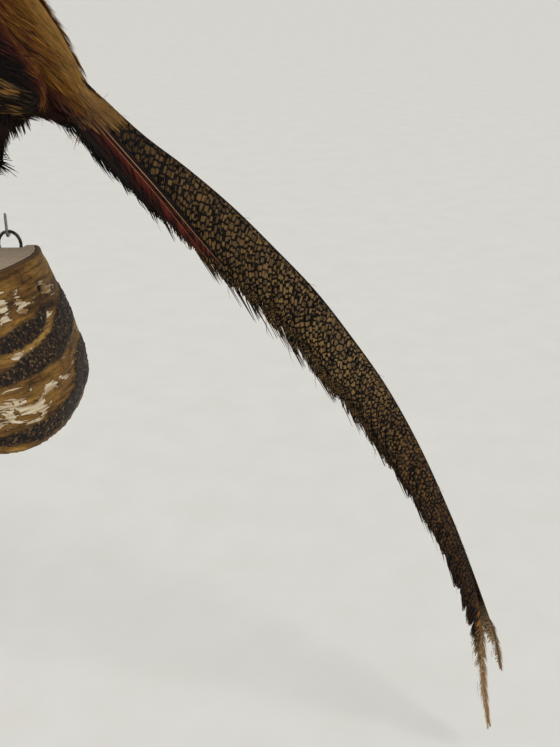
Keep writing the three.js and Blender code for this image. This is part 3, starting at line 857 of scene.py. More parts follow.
def coat(name, surface, count, density, length, width, lift, slot, material, seed,
         stations=4, clump=1, fan=0.0, droop=0.0, stray=0.06, tips=None, colour=plumage,
         shade=(0.55, 1.15), flow=None, vary=0.2, blend=0.0):
    """Lays a coat of strands or small feathers and dresses it. Length, width, lift and blend are in
    millimetres. The clumps differ in tone by vary, and each takes its colour from up to a blend
    away, so that markings run into one another."""
    length, width, lift, blend = (np.array(v) * MM for v in (length, width, lift, blend))
    rng = np.random.default_rng(seed)
    clumps = count // clump
    total = clumps * clump
    roots = np.repeat(surface.scatter(clumps, density, seed), clump, axis=0)
    roots = roots + rng.normal(0, 0.25 * width * (clump > 1), (total, 3))
    lengths = rng.uniform(*length, clumps).repeat(clump) * rng.uniform(0.85, 1.1, total)
    lifts = np.linspace(0, 1, stations)[None] ** 0.8 * rng.uniform(lift[0], lift[1], total)[:, None]
    wander = rng.normal(0, fan, total)
    base_flow = flow or lie_of_coat(droop, stray, seed)

    def fanned(points, ups):
        way = base_flow(points, ups)
        return unit(way + np.cross(ups, way) * wander[:, None])

    lines, ups = lay(surface, roots, fanned, lengths, stations, lifts)
    widths = np.tile(taper(stations, 0.55, 1.0, 0.12) * width, (total, 1))
    widths = widths * rng.uniform(0.75, 1.25, (total, 1))
    rings = rings_along(lines, ups, widths, widths * 0.7, STRAND)
    seen = roots + rng.normal(0, blend, (clumps, 3)).repeat(clump, axis=0)
    # Shade runs each strand from dark at its root to light at its tip: painted shade deep in the coat and
    # painted light at its surface.
    tones = colour(seen)[:, None, :] * np.linspace(*shade, stations)[None, :, None]
    tones = tones * rng.uniform(1 - vary, 1 + vary, (clumps, 1, 1)).repeat(clump, axis=0)
    tones = tones * rng.uniform(0.88, 1.12, (total, 1, 1))
    if tips is not None:
        share = (np.linspace(0, 1, stations) ** 2)[None, :, None] * rng.uniform(0, 1, (total, 1, 1))
        tones = tones + (np.array(tips) - tones) * share
    obj = join_lofts(name, rings, tones, root_patches(roots, stations, len(STRAND)))
    return dress(obj, material, slot)


# %% [markdown]
# ## The rump and back
# A cock's rump is covered in long hair-like golden plumes that stream back over the tail root. They
# are made as clumps of thin strands in two layers: a deep one that covers, painted darker as painted
# shade, and a paler one above it with bright tips, painted lighter towards them as painted light.

# %% Lay the golden rump
body = Surface(skin)
gold_coat = plumage_material("golden_plumes", 1.0, 0.5, 0.1)


def rump_density(points):
    back, _, _ = on_bird(points)
    return ease(196, 224, back / MM) * ease(-10 * MM, 0, above_flank_line(points)) + 1e-6


coat("rump_under", body, 4800, rump_density, (20, 34), 0.72, (1.0, 2.2),
     "feather_body", gold_coat, 11, clump=3, fan=0.08, vary=0.4, blend=3, shade=(0.25, 0.85))
coat("rump_over", body, 7600, rump_density, (18, 32), 0.36, (2.0, 4.2),
     "feather_body", gold_coat, 12, clump=5, fan=0.05, tips=GOLD_PALE, shade=(0.3, 1.35), vary=0.7,
     blend=4)

# %% [markdown]
# ## Under the golden plumes
# Breast, belly and flanks are scarlet going to maroon, with the same loose edges as the rump. Each
# feather is a little fan of strands from one root. Two layers are enough, because the skin below
# has the same colour: broad strands that cover, darker at the root as painted shade, then thinner
# ones painted lighter towards their tips, as painted light.

# %% Lay the red underparts
red_coat = plumage_material("scarlet_plumes", 1.0, 0.6, 0.02)


def under_density(points):
    back, _, angle = on_bird(points)
    back, side = back / MM, np.degrees(np.abs(angle))
    neck = within(back, 84, 100, 140, 160) * ease(50, 80, side)
    trunk = within(back, 130, 155, 336, 352) * ease(84, 100, side)
    trunk = trunk * (1 - ease(0, 6 * MM, above_flank_line(points)) * ease(205, 222, back))
    return np.maximum(neck, trunk) * ease(190 * MM, 198 * MM, points[:, 2]) + 1e-6


coat("breast_under", body, 5200, under_density, (14, 22), 1.0, (0.8, 2.6),
     "feather_body", red_coat, 21, stations=3, clump=5, fan=0.30, shade=(0.45, 1.05))
coat("breast_over", body, 6600, under_density, (13, 21), 0.45, (2.2, 4.6),
     "feather_body", red_coat, 22, stations=3, clump=6, fan=0.26, shade=(0.5, 1.25), vary=0.35)


# %% [markdown]
# Thighs and vent carry soft dark tufts that hang down past the outline. Their near-black is partly
# the dark chestnut of the plumage and partly painted shade under the body. On the thighs the coat lies
# down the leg instead of along the back, so these tufts get their own direction.

# %% Lay thighs and vent
dark_coat = plumage_material("dark_down", 1.0, 0.8, 0.02)


DOWN_LEG = np.array([0.30, 0, -0.95])  # and a little back


def thigh_density(points):
    on_thigh = fade(196 * MM, 210 * MM, points[:, 2]) * fade(86 * MM, 96 * MM, points[:, 0])
    return on_thigh + 1e-6


def vent_density(points):
    back, _, angle = on_bird(points)
    return ease(268, 296, back / MM) * ease(100, 120, np.degrees(np.abs(angle))) + 1e-6


coat("thigh_plumes", body, 3900, thigh_density, (11, 20), 0.55, (1.2, 4.5),
     "feather_thigh", dark_coat, 24, clump=5, fan=0.3, flow=lie(lambda points: DOWN_LEG, 0.12, 24),
     tips=paint(66, 42, 26), shade=(0.6, 1.0))
coat("vent_plumes", body, 3300, vent_density, (13, 24), 0.55, (1.5, 6.0),
     "feather_body", dark_coat, 25, clump=5, fan=0.3, droop=0.7, tips=paint(52, 32, 20), shade=(0.5, 0.9))


def tuft_density(points):
    _, _, angle = on_bird(points)
    near = np.exp(-((points[:, 0] - 83 * MM) / (10 * MM)) ** 2) * ease(150 * MM, 170 * MM, points[:, 2])
    return near * ease(105, 125, np.degrees(np.abs(angle))) + 1e-7


def hang(points, ups):
    """Straight down, with the few degrees back and sideways that each root's own side gives."""
    return unit(np.array([0.16, 0.0, -1.0]) + ups * [0.25, 0.45, 0.0])


coat("vent_tuft", body, 1400, tuft_density, (9, 19), 0.6, (0.5, 2.5), "feather_body",
     dark_coat, 125, clump=4, fan=0.3, flow=hang, tips=paint(48, 30, 20), shade=(0.4, 0.8))

# %% [markdown]
# The neck is rust, and the face has the bird's smallest feathers, tan and only a few millimetres
# long. They part round the eye, and their size grows smoothly down the neck.

# %% Lay neck and face
face_coat = plumage_material("face_plumes", 1.0, 0.65, 0.08)


def clear_of_eyes(points):
    gap = np.linalg.norm(points[:, [0, 2]] - EYE[[0, 2]] + [1.3 * MM, 0], axis=1)
    return ease(4.9 * MM, 5.9 * MM, gap)


def face_density(points):
    back, _, _ = on_bird(points)
    return fade(46, 62, back / MM) * clear_of_eyes(points) * ease(-116 * MM, -112 * MM, points[:, 0]) + 1e-6


def throat_density(points):
    back, _, _ = on_bird(points)
    return within(back / MM, 40, 56, 92, 108) + 1e-6


coat("face_plumes", body, 6600, face_density, (3.0, 5.5), 0.26, (0.5, 1.1),
     "feather_head", face_coat, 26, stations=3, clump=3, fan=0.2, stray=0.05, shade=(0.75, 1.35))
coat("throat_plumes", body, 4200, throat_density, (7, 12), 0.42, (1.0, 3.0),
     "feather_neck", face_coat, 27, stations=3, clump=4, fan=0.24, shade=(0.5, 1.2))

# %% [markdown]
# ## The crest
# The crest is a mop of long silky golden feathers that springs from the crown and lies back over
# the nape. Its solid gives the form. A smooth bed fills it, and fine strands run its whole length.

# %% Lay the crest
CREST_LINE = np.array([
    (-114, 445), (-101, 456), (-84, 459), (-65, 452), (-47, 441), (-25, 427), (-6, 417),
]) * MM
crest_bed = smooth_copy("crest_bed", ["crest"], 1.3 * MM, 4)
spots = points_of(crest_bed) - normals_of(crest_bed) * 1.5 * MM
spots[:, 2] -= 4.2 * MM * fade(-113 * MM, -96 * MM, spots[:, 0])
set_points(crest_bed, spots)
one_colour(crest_bed, paint(176, 126, 54))
# The bed is darkened to three quarters, as painted shade under the crest.
dress(crest_bed, plumage_material("crest_bed_down", 0.75), "feather_crest", "crest")


def along_crest(points):
    """The direction of the crest's own curved line."""
    turn_at = (CREST_LINE[1:] + CREST_LINE[:-1]) / 2
    ways = unit(np.diff(CREST_LINE, axis=0))
    x, z = (np.interp(points[:, 0], turn_at[:, 0], ways[:, i]) for i in (0, 1))
    return np.stack([x, 0 * x, z], 1)


crest = Surface(crest_bed)


def crest_density(points):
    """Thickest at the forehead, and none on the last third, where the strands only lie."""
    x = points[:, 0] / MM
    return (1.4 - ease(-90, -30, x)) * (1 + 2 * fade(-112, -102, x)) * fade(-46, -40, x)


def brow_density(points):
    """The forehead, between bill and crest."""
    shown = fade(-98 * MM, -92 * MM, points[:, 0]) * ease(442 * MM, 446 * MM, points[:, 2])
    return shown * ease(-115 * MM, -113 * MM, points[:, 0]) + 1e-7


silk = plumage_material("golden_silk", 1.0, 0.42, 0.1)


def crest_colours(points):
    share = ease(-110 * MM, -20 * MM, points[:, 0])[:, None]
    return np.array(paint(206, 156, 66)) * (1 - share) + np.array(paint(186, 126, 50)) * share


coat("crest_silk", crest, 3300, crest_density, (22, 38), 0.38, (0.4, 1.9),
     "feather_crest", silk, 28, stations=5, clump=3, fan=0.05, flow=lie(along_crest, 0.04, 28, 0.9),
     colour=crest_colours, shade=(0.5, 1.2), vary=0.35)
coat("brow_plumes", body, 1500, brow_density, (5, 13), 0.3, (0.6, 2.4),
     "feather_crest", silk, 29, stations=4, clump=3, fan=0.08, flow=lie(along_crest, 0.05, 29, 0.9),
     colour=crest_colours, shade=(0.6, 1.2))

# %% [markdown]
# ## Whole feathers with markings
# Cape, mantle and wings need feathers whose bars and edges can be seen one by one. Each is a thin
# closed vane with a raised shaft. Its own map runs 0 to 1 along and -1 to 1 across, and the
# materials draw barbs, bars and borders on that map. In the bake map each has a cell of a grid.

# %% Vane helpers
SHAFTED = ((-1, -0.45), (-0.55, 0.25), (-0.07, 0.5), (0, 1.1), (0.07, 0.5), (0.55, 0.25), (1, -0.45),
           (0, -0.5))


def vanes(name, lines, ups, widths, outline, thickness, tones, material, slot):
    """Whole feathers along given lines, dressed, with a map for each vane."""
    count, stations = lines.shape[:2]
    outline = np.interp(np.linspace(0, 1, stations), *np.array(outline).T)
    spread = outline[None] * widths[:, None]
    rings = rings_along(lines, ups, spread, np.full_like(spread, thickness), SHAFTED)
    place = np.zeros((count, stations, len(SHAFTED), 2))
    place[..., 0] = np.linspace(0, 1, stations)[None, :, None]
    place[..., 1] = np.array([a for a, _ in SHAFTED])[None, None]
    grid = math.ceil(math.sqrt(count))
    cell = np.stack([np.arange(count) % grid, np.arange(count) // grid], 1)[:, None, None]
    bake = (cell + 0.06 + 0.88 * np.stack([place[..., 0], (place[..., 1] + 1) / 2], -1)) / grid
    colours = np.broadcast_to(tones[:, None], (count, stations, 4))[..., :3]
    return dress(join_lofts(name, rings, colours, bake, place), material, slot)


# %% [markdown]
# A vane's finish starts from the tone each feather was given. Fine slanted lines stand for the
# barbs, noise that follows them mottles the vane, and a pale line marks the shaft. A marking, such
# as an edge or bars, is a function that each kind of feather hands in.


# %% A vane's finish
def vane_material(name, barb_count, marking=None, rough=0.5, sheen=0.04):
    """A feather's finish: the colour it was given, fine slanted barbs, and any marking on top."""
    material, shader = new_material(name, Roughness=rough, Sheen_Weight=sheen, Specular_IOR_Level=0.2)
    own = node(material, "Attribute", attribute_name="plumage").outputs["Color"]
    parts = node(material, "SeparateXYZ", {0: node(material, "UVMap", uv_map="Vane").outputs[0]})
    along, across = parts.outputs["X"], parts.outputs["Y"]
    aside = maths(material, "ABSOLUTE", across)
    slanted = maths(material, "SUBTRACT", along, product(material, aside, 0.14))
    barb = maths(material, "SINE", product(material, slanted, barb_count * 2 * math.pi))
    each = node(material, "Attribute", attribute_name="plumage").outputs["Fac"]
    where = node(material, "CombineXYZ", {"X": product(material, slanted, barb_count * 0.5),
                                          "Y": across, "Z": each}).outputs[0]
    mottle = node(material, "TexNoise", {"Vector": where, "Scale": 1.3, "Detail": 3.0}).outputs["Fac"]
    tone = ramp(material, mottle, [(0.3, grey(0.62)), (0.7, grey(1.25))])
    colour = times(material, own, tone)
    if marking:
        colour = marking(material, along, across, aside, mottle, colour)
    shaft = ramp(material, aside, [(0.02, WHITE), (0.06, BLACK)])
    colour = mix(material, product(material, shaft, 0.32), colour, paint(170, 134, 90))
    dark_line = ramp(material, barb, [(0.2, WHITE), (1.0, grey(0.72))])
    colour = times(material, colour, dark_line)
    wire(material, colour, shader.inputs["Base Color"])
    bump(material, shader, barb, 0.35, 0.25 * MM)
    return material


# %% [markdown]
# Mantle and cape feathers grow in rows, each row set half a step aside from the last, as tiles are.
# Roots are picked from random points on the form: for every place in a row, the nearest one.


# %% Rows of feathers
def rows_on(surface, starts, spread, gap, seed, reach=5 * MM):
    """Roots in rows across the bird, at distances along its spine and angles out to a spread."""
    rng = np.random.default_rng(seed)
    spots = surface.scatter(16000, lambda p: np.ones(len(p)), seed)
    back, _, angle = on_bird(spots)
    axis = np.stack([np.interp(back, LINE_AT, LINE[:, i]) for i in (0, 1)], 1)
    radius = np.hypot(np.linalg.norm(spots[:, [0, 2]] - axis, axis=1), spots[:, 1] - BODY_Y)
    roots = []
    for number, start in enumerate(starts):
        near = np.abs(back - start) < 4 * MM
        if near.sum() < 10:
            continue
        ring = np.quantile(radius[near], 0.8)
        places = max(2, int(2 * spread * ring / gap))
        for turn_to in np.linspace(-spread, spread, places) + (number % 2) * spread / places:
            miss = np.hypot(back - start, ring * (angle - turn_to)) - 0.05 * radius
            best = miss.argmin()
            if miss[best] + 0.05 * radius[best] < reach:
                roots.append(spots[best] + rng.normal(0, 0.3 * MM, 3))
    return np.array(roots)


def rise(low, high, count, stations, seed):
    """How far feathers stand off from root to tip, each a little more or less."""
    spread = np.random.default_rng(seed).uniform(-0.3, 0.3, (count, 1)) * MM
    return np.linspace(low * MM, high * MM, stations)[None] + spread


def tinted(colour, count, seed, amount=0.18):
    """One colour for each feather, each a little lighter or darker."""
    rng = np.random.default_rng(seed)
    return np.array(colour)[None] * rng.uniform(1 - amount, 1 + amount, (count, 1))


# %% [markdown]
# The form to lay them on is a smooth copy of the whole outer body. It is only a guide, and it is
# taken away at the end.

# %% The guide form
guide = smooth_copy("guide", ["head", "neck", "trunk", "thigh_left", "thigh_right", "wing_left",
                              "wing_right", "cape"], 2.2 * MM, 5)
form = Surface(guide)
bpy.data.objects.remove(guide)

# %% [markdown]
# The mantle shows below the cape: short rounded green feathers with black edges, in rows like
# scales.


# %% Lay the mantle
def edged(material, along, across, aside, mottle, colour):
    rim = total(material, product(material, aside, aside), maths(material, "POWER", along, 6.0))
    border = step(material, rim, 0.52, 0.62)
    return mix(material, border, colour, paint(14, 16, 18))


mantle_roots = rows_on(form, np.arange(132, 226, 8.5) * MM, math.radians(60), 9.5 * MM, 41)
count = len(mantle_roots)
lines, ups = lay(form, mantle_roots, lie_of_coat(0.0, 0.03, 41), np.full(count, 21 * MM), 7,
                 rise(-1.4, 1.2, count, 7, 41))
vanes("mantle", lines, ups, np.full(count, 6.6 * MM),
      [(0, 0.5), (0.25, 0.85), (0.6, 1), (0.85, 0.8), (0.96, 0.45), (1, 0.12)], 0.45 * MM,
      tinted(paint(48, 78, 46), count, 41), vane_material("green_mantle", 26, edged, 0.35), "feather_body")

# %% [markdown]
# The cape is the cock's ruff. Its feathers are broad, cut nearly square, and pale orange with two
# blue-black bars near the end, so laid in rows they draw black lines round the neck.

# %% Lay the cape
cape_bed = smooth_copy("cape_bed", ["cape"], 2.4 * MM, 2)
sink(cape_bed, 0.4 * MM)
one_colour(cape_bed, paint(150, 84, 36))
# The bed is darkened to three quarters, as painted shade under the cape's feathers.
dress(cape_bed, plumage_material("cape_bed_down", 0.75), "feather_cape", "cape")


def barred_end(material, along, across, aside, mottle, colour):
    bent = total(material, along, product(material, aside, -0.02))
    bars = ramp(material, bent, [
        (0.745, BLACK), (0.765, WHITE), (0.835, WHITE), (0.855, BLACK),
        (0.915, BLACK), (0.935, WHITE),
    ])
    return mix(material, bars, colour, paint(18, 20, 30))


cape_form = Surface(cape_bed)
cape_orange = plumage_material("cape_under_plumes", 1.0, 0.5, 0.05)


def cape_density(points):
    """Everywhere on the cape, and thickest at its top."""
    return 1 + 3 * ease(400 * MM, 420 * MM, points[:, 2])


def nape_density(points):
    """Only the nape, where cape and crest meet."""
    return ease(414 * MM, 424 * MM, points[:, 2]) * fade(-66 * MM, -58 * MM, points[:, 0]) + 1e-7


def all_of(tone):
    """One colour, wherever a root is."""
    return lambda points: np.tile(np.array(tone), (len(points), 1))


coat("cape_under", cape_form, 2600, cape_density, (9, 15), 0.6, (0.2, 1.2),
     "feather_cape", cape_orange, 43, stations=3, clump=4, fan=0.2,
     colour=all_of(paint(176, 100, 40)), shade=(0.5, 1.15))
coat("nape_plumes", cape_form, 1300, nape_density, (7, 13), 0.7, (0.6, 1.6),
     "feather_cape", cape_orange, 44, clump=3, fan=0.15, flow=hang,
     colour=all_of(paint(170, 98, 42)), shade=(0.6, 1.2))
cape_roots = rows_on(cape_form, np.arange(24, 150, 7.5) * MM, math.radians(165), 8.5 * MM, 42,
                     4 * MM)
count = len(cape_roots)
lines, ups = lay(form, cape_roots, lie_of_coat(0.0, 0.03, 42), np.full(count, 27 * MM), 7,
                 rise(-1.0, 1.8, count, 7, 42))
vanes("cape_feathers", lines, ups, np.full(count, 6.2 * MM),
      [(0, 0.45), (0.3, 0.8), (0.7, 0.98), (0.93, 1), (0.98, 0.86), (1, 0.5)], 0.45 * MM,
      tinted(paint(190, 112, 44), count, 42), vane_material("barred_cape", 32, barred_end, 0.45),
      "feather_cape")

# %% [markdown]
# ## The folded wings
# A folded wing shows rows of coverts from the wrist back, then dark blue tertials, and below them
# secondaries and primaries barred with buff. Each row is given in the wing's own plane, from its
# lowest feather to its highest, and its feathers are dropped sideways onto the flank.

# %% Rows of the wing
WING_ROWS = [
    # name, count, roots low and high, tips low and high, half width, lift, colour, finish
    ("primaries", 10, (96, -32), (104, -10), (166, -31), (211, 5), 3.9, -0.3, paint(30, 21, 14), "barred"),
    ("secondaries", 11, (66, -32), (104, 34), (142, -32), (186, 14), 6.6, -0.2, paint(40, 27, 17), "barred"),
    ("scapulars", 8, (62, 62), (104, 52), (104, 66), (150, 46), 7.6, 0.2, paint(70, 30, 22), "plain"),
    ("tertials", 5, (84, 12), (80, 50), (150, 8), (154, 44), 9.6, 0.5, paint(20, 28, 52), "blue"),
    ("greater_coverts", 15, (44, -37), (84, 58), (86, -39), (128, 54), 6.6, 0.4, paint(74, 42, 24), "plain"),
    ("median_coverts", 15, (30, -32), (50, 61), (58, -36), (92, 62), 6.4, 0.8, paint(84, 44, 26), "plain"),
    ("lesser_coverts", 15, (14, -22), (22, 55), (42, -30), (60, 64), 6.2, 1.2, paint(80, 38, 25), "plain"),
    ("wrist_coverts", 14, (0, -12), (2, 44), (24, -22), (30, 58), 5.6, 1.5, paint(76, 34, 25), "plain"),
    ("wrist_edge", 14, (-9, -10), (-4, 40), (10, -15), (13, 52), 4.6, 1.7, paint(72, 30, 24), "plain"),
]


def on_flank(places, sign):
    """Points of the wing's plane dropped sideways onto the body, with normals that face out."""
    flat = (WRIST + places[..., :1] * WING_ALONG + places[..., 1:] * WING_UP).reshape(-1, 2)
    start = np.stack([flat[:, 0], np.full(len(flat), BODY_Y + sign * 0.2), flat[:, 1]], 1)
    spots, normals, hit = form.towards(start, np.tile((0.0, -sign, 0.0), (len(flat), 1)))
    spots[~hit, 1] = BODY_Y + sign * 14 * MM
    normals[~hit] = (0, sign, 0)
    spots = spots.reshape(*places.shape[:2], 3)
    for _ in range(2):
        spots[:, 1:-1, 1] = (spots[:, :-2, 1] + 2 * spots[:, 1:-1, 1] + spots[:, 2:, 1]) / 4
    return spots, unit(normals.reshape(*places.shape[:2], 3) + np.array([0, sign * 0.5, 0]))


# %% [markdown]
# The flight feathers are barred with buff on both edges, more strongly on the inner one, and worn
# to streaks at their ends. Tertials are dark blue and nearly black at the tip. Coverts share the
# mantle's dark edge.


# %% The wing's finishes
def barred_wing(material, along, across, aside, mottle, colour):
    wavy = total(material, product(material, along, 48.0), product(material, mottle, 9.0))
    row = maths(material, "SINE", wavy)
    bars = ramp(material, row, [(0.2, grey(0.1)), (0.6, WHITE)])
    outer = ramp(material, total(material, product(material, across, 0.5), 0.5), [
        (0.10, BLACK), (0.22, grey(0.8)), (0.40, BLACK), (0.60, BLACK),
        (0.72, WHITE), (0.92, grey(0.3)),
    ])
    barred = mix(material, product(material, bars, outer), colour, paint(134, 104, 62))
    drawn = node(material, "CombineXYZ", {"X": product(material, along, 3.0),
                                          "Y": product(material, across, 3.4)}).outputs[0]
    streak = node(material, "TexNoise", {"Vector": drawn, "Scale": 1.6, "Detail": 4.0}).outputs["Fac"]
    streaked = ramp(material, streak, [(0.44, paint(24, 17, 11)), (0.54, paint(96, 70, 36)),
                                       (0.64, paint(170, 132, 74))])
    return mix(material, step(material, along, 0.5, 0.72), barred, streaked)


def blue_sheen(material, along, across, aside, mottle, colour):
    return mix(material, ramp(material, along, [(0.5, BLACK), (0.95, grey(0.7))]),
               colour, paint(10, 12, 18))


wing_finish = {
    "barred": vane_material("barred_wing", 70, barred_wing, 0.45),
    "plain": vane_material("brown_coverts", 34, edged, 0.5),
    "blue": vane_material("blue_tertials", 60, blue_sheen, 0.3),
}

# %% [markdown]
# A dark brown bed fills each wing below its feathers, darkened further as painted shade. Then every
# row is laid from its table line: roots and tips are spread evenly between the two given ends, with a
# little disorder, and arched slightly.

# %% Lay both wings
for side, sign in (("left", -1), ("right", 1)):
    bed = smooth_copy(f"wing_bed_{side}", [f"wing_{side}"], 2.6 * MM, 2)
    sink(bed, 1.1 * MM)
    one_colour(bed, paint(34, 23, 16))
    # The bed is darkened to half, as painted shade below the wing's feathers.
    dress(bed, plumage_material(f"wing_bed_down_{side}", 0.5), "feather_wing", f"wing_{side}")
    rng = np.random.default_rng(50)
    for row, count, low, high, tip_low, tip_high, width, lift, colour, finish in WING_ROWS:
        share, rank = np.linspace(0, 1, 9)[None, :, None], np.linspace(0, 1, count)[:, None]
        root = np.array(low) + (np.array(high) - low) * rank + rng.normal(0, 0.8, (count, 2))
        tip = np.array(tip_low) + (np.array(tip_high) - tip_low) * rank + rng.normal(0, 1.2, (count, 2))
        path = (root[:, None] + (tip - root)[:, None] * share) * MM
        path[..., 1] += np.sin(np.pi * share[..., 0]) * 1.6 * MM
        spots, normals = on_flank(path, sign)
        stand = np.linspace(-1.3, 1.1, 9)[None] + lift + rank * 0.8 + rng.uniform(-0.15, 0.15, (count, 1))
        lines = spots + normals * (stand * MM)[..., None]
        vanes(f"{row}_{side}", lines, normals, np.full(count, width * MM),
              [(0, 0.5), (0.2, 0.9), (0.6, 1), (0.86, 0.74), (0.96, 0.4), (1, 0.06)], 0.5 * MM,
              tinted(colour, count, 50 + count), wing_finish[finish], "feather_wing")

# %% [markdown]
# The barbs of an old wing come apart at its tip. Loose strands over the last few centimetres, some
# buff and most of them dark, break up the smooth ends of the vanes.

# %% Fray the wing tips
def wing_tip_density(points):
    along, up = in_wing_plane(points)
    shown = within(along, 148 * MM, 170 * MM, 203 * MM, 208 * MM)
    shown = shown * ease(-34 * MM, -26 * MM, up) * fade(2 * MM, 7 * MM, up)
    return shown * ease(12 * MM, 18 * MM, np.abs(points[:, 1] - BODY_Y)) + 1e-7


DOWN_WING = np.array([WING_ALONG[0], 0, WING_ALONG[1]])


def buff_and_dark(points):
    """Buff for a third of the strands and a dark brown for the rest, in narrow lines."""
    along, up = in_wing_plane(points)
    buff = ease(0.2, 0.8, np.sin(up / (0.5 * MM)) + 0.4 * np.sin(points[:, 0] / (3 * MM)))
    buff = (buff * fade(192 * MM, 203 * MM, along))[:, None]
    browner = (ease(-26 * MM, -14 * MM, up) * 0.6)[:, None]
    dark = np.array(paint(20, 14, 10)) + np.array(paint(44, 34, 24)) * browner
    return dark + (np.array(paint(160, 118, 62)) - dark) * buff


loose_barbs = plumage_material("loose_wing_barbs", 1.0, 0.5, 0.0)
coat("wing_tip_barbs", form, 1500, wing_tip_density, (7, 13), 0.34, (1.2, 2.0),
     "feather_wing", loose_barbs, 53, clump=2, fan=0.05, flow=lie(lambda points: DOWN_WING, 0.0, 53),
     colour=buff_and_dark, shade=(0.9, 1.0), vary=0.45, blend=1)


# A few pale shafts run through the barbs. Each is given by root and tip, as (along, up) in millimetres.
BARE_SHAFTS = np.array([((150, -8), (192, -12)), ((150, -15), (203, -17)), ((140, -25), (192, -23)),
                        ((130, 0), (188, 0))])
SHAFT_TONES = np.array([paint(190, 172, 142), paint(110, 84, 70), paint(150, 122, 84), paint(110, 84, 60)])
for side, sign in (("left", -1), ("right", 1)):
    roots, tips = BARE_SHAFTS[:, :1], BARE_SHAFTS[:, 1:]
    spots, normals = on_flank((roots + (tips - roots) * np.linspace(0, 1, 12)[None, :, None]) * MM, sign)
    even = np.ones(spots.shape[:2])
    rings = rings_along(spots + normals * 2.5 * MM, normals, even * 0.24 * MM, even * 0.2 * MM, STRAND)
    tones = SHAFT_TONES[:, None, :3] * even[..., None]
    shafts = join_lofts(f"wing_shafts_{side}", rings, tones, root_patches(spots[:, 0], 12, len(STRAND)))
    dress(shafts, loose_barbs, "feather_wing")

# %% [markdown]
# The loose plumes of back and flank fall over the rear of the folded wing and hide its upper edge,
# gold above, then maroon, then nearly black, so that only the wing's tip shows below them.


# %% Lay the flank plumes over the wing
def over_wing_density(points):
    along, up = in_wing_plane(points)
    shown = within(along, 128 * MM, 150 * MM, 226 * MM, 236 * MM)
    shown = shown * ease(5 * MM, 9 * MM, up) * fade(6 * MM, 14 * MM, above_flank_line(points))
    return shown * ease(12 * MM, 18 * MM, np.abs(points[:, 1] - BODY_Y)) + 1e-7


def over_wing_colour(points):
    """Nearly black below, then maroon, then gold above the flank line."""
    above = above_flank_line(points)[:, None] / MM
    black, maroon = np.array(paint(18, 11, 9)), np.array(paint(84, 36, 22))
    colour = black + (maroon - black) * ease(-13, -4, above)
    return colour + (np.array(GOLD) - colour) * ease(-3, 5, above)


coat("flank_under", form, 2400, over_wing_density, (16, 26), 0.85, (0.8, 2.6),
     "feather_body", red_coat, 23, clump=4, fan=0.14, colour=over_wing_colour, shade=(0.25, 0.8), vary=0.4,
     blend=3)
coat("flank_over", form, 4000, over_wing_density, (16, 28), 0.4, (2.2, 4.6),
     "feather_body", red_coat, 123, clump=5, fan=0.08, colour=over_wing_colour, shade=(0.3, 1.35),
     vary=0.55, blend=4)

# %% [markdown]
# ## The tail
# The tail is a roof of very long feathers. Its shape is given by ribs: the ridge where the shafts
# run, the lower edge, the roof's half width and its distance from the wall. Each long feather is
# made of barbs, thin strips that leave the shaft and slant towards the tip. They gather into small
# clumps near the edge, which leaves the slits and the ragged edge of an old mount.

# %% Tail ribs
TAIL = np.array([
    (135.7, 206.7, 116, 190, 14, -76), (175, 168, 155, 146, 16, -75.5), (206.2, 142.2, 182, 116, 17, -72.5),
    (238, 113, 209, 85, 16, -69), (268, 81, 238, 54, 15.5, -65.5), (299, 46, 267, 21, 15, -62),
    (328, 6, 296, -16, 14, -58), (357, -38, 325, -55, 12.5, -53), (384, -88, 354, -98, 11, -48),
    (409, -142, 386, -150, 10, -43), (434, -202, 415, -205, 8.5, -38),
]) * MM
TIP_NEAR = np.array([
    (452.5, -262, 439, -266, 7, -33), (462, -318, 452, -320, 5, -28), (469, -372, 463, -373, 3, -24),
    (480, -430, 477, -430, 2, -20),
]) * MM
TIP_FAR = np.array([
    (457, -262, 442, -266, 7, -33), (472, -304, 462, -306, 5, -29), (480, -333, 474, -335, 3, -27),
    (484, -354, 481, -355, 2, -25),
]) * MM


def spline(values, share):
    """A smooth curve through rows of values, read at shares from 0 to 1."""
    share = np.clip(share, 0, 1) * (len(values) - 1)
    start = np.minimum(share.astype(int), len(values) - 2)
    part = (share - start)[..., None]
    padded = np.concatenate([2 * values[:1] - values[1:2], values, 2 * values[-1:] - values[-2:-1]])
    p0, p1, p2, p3 = (padded[start + i] for i in range(4))
    return 0.5 * (2 * p1 + (p2 - p0) * part + (2 * p0 - 5 * p1 + 4 * p2 - p3) * part**2
                  + (3 * p1 - p0 - 3 * p2 + p3) * part**3)


def tail_point(ribs, sign, along, across, out):
    """A point on one side of the tail roof: along 0-1 to the tip, across 0-1 to the edge."""
    row = spline(ribs, along)
    ridge = np.stack([row[..., 0], row[..., 5], row[..., 1]], -1)
    edge = np.stack([row[..., 2], row[..., 5] + sign * row[..., 4], row[..., 3]], -1)
    span = edge - ridge
    way = spline(ribs, along + 0.01) - spline(ribs, along - 0.01)
    way = unit(np.stack([way[..., 0], way[..., 5], way[..., 1]], -1))
    up = unit(np.cross(span, way)) * -sign
    bulge = out + 1.6 * MM * np.sin(np.pi * np.clip(across, 0, 1))
    return ridge + span * across[..., None] + up * bulge[..., None], up


TAIL_LENGTH = 0.76
print("tail ribs", len(TAIL) + len(TIP_NEAR), "length", TAIL_LENGTH)

# %% [markdown]
# ## The barbs of a long feather
# A barb is a thin strip from the shaft to the edge of the vane. Its foot is on the shaft, it leans
# towards the tip as it goes out, and it is drawn to the middle of its own small clump. Near the
# tail's end barbs are missing or short, as on an old mount. A painted vane would show a clean edge
# against the wall, so each barb is a real strip.


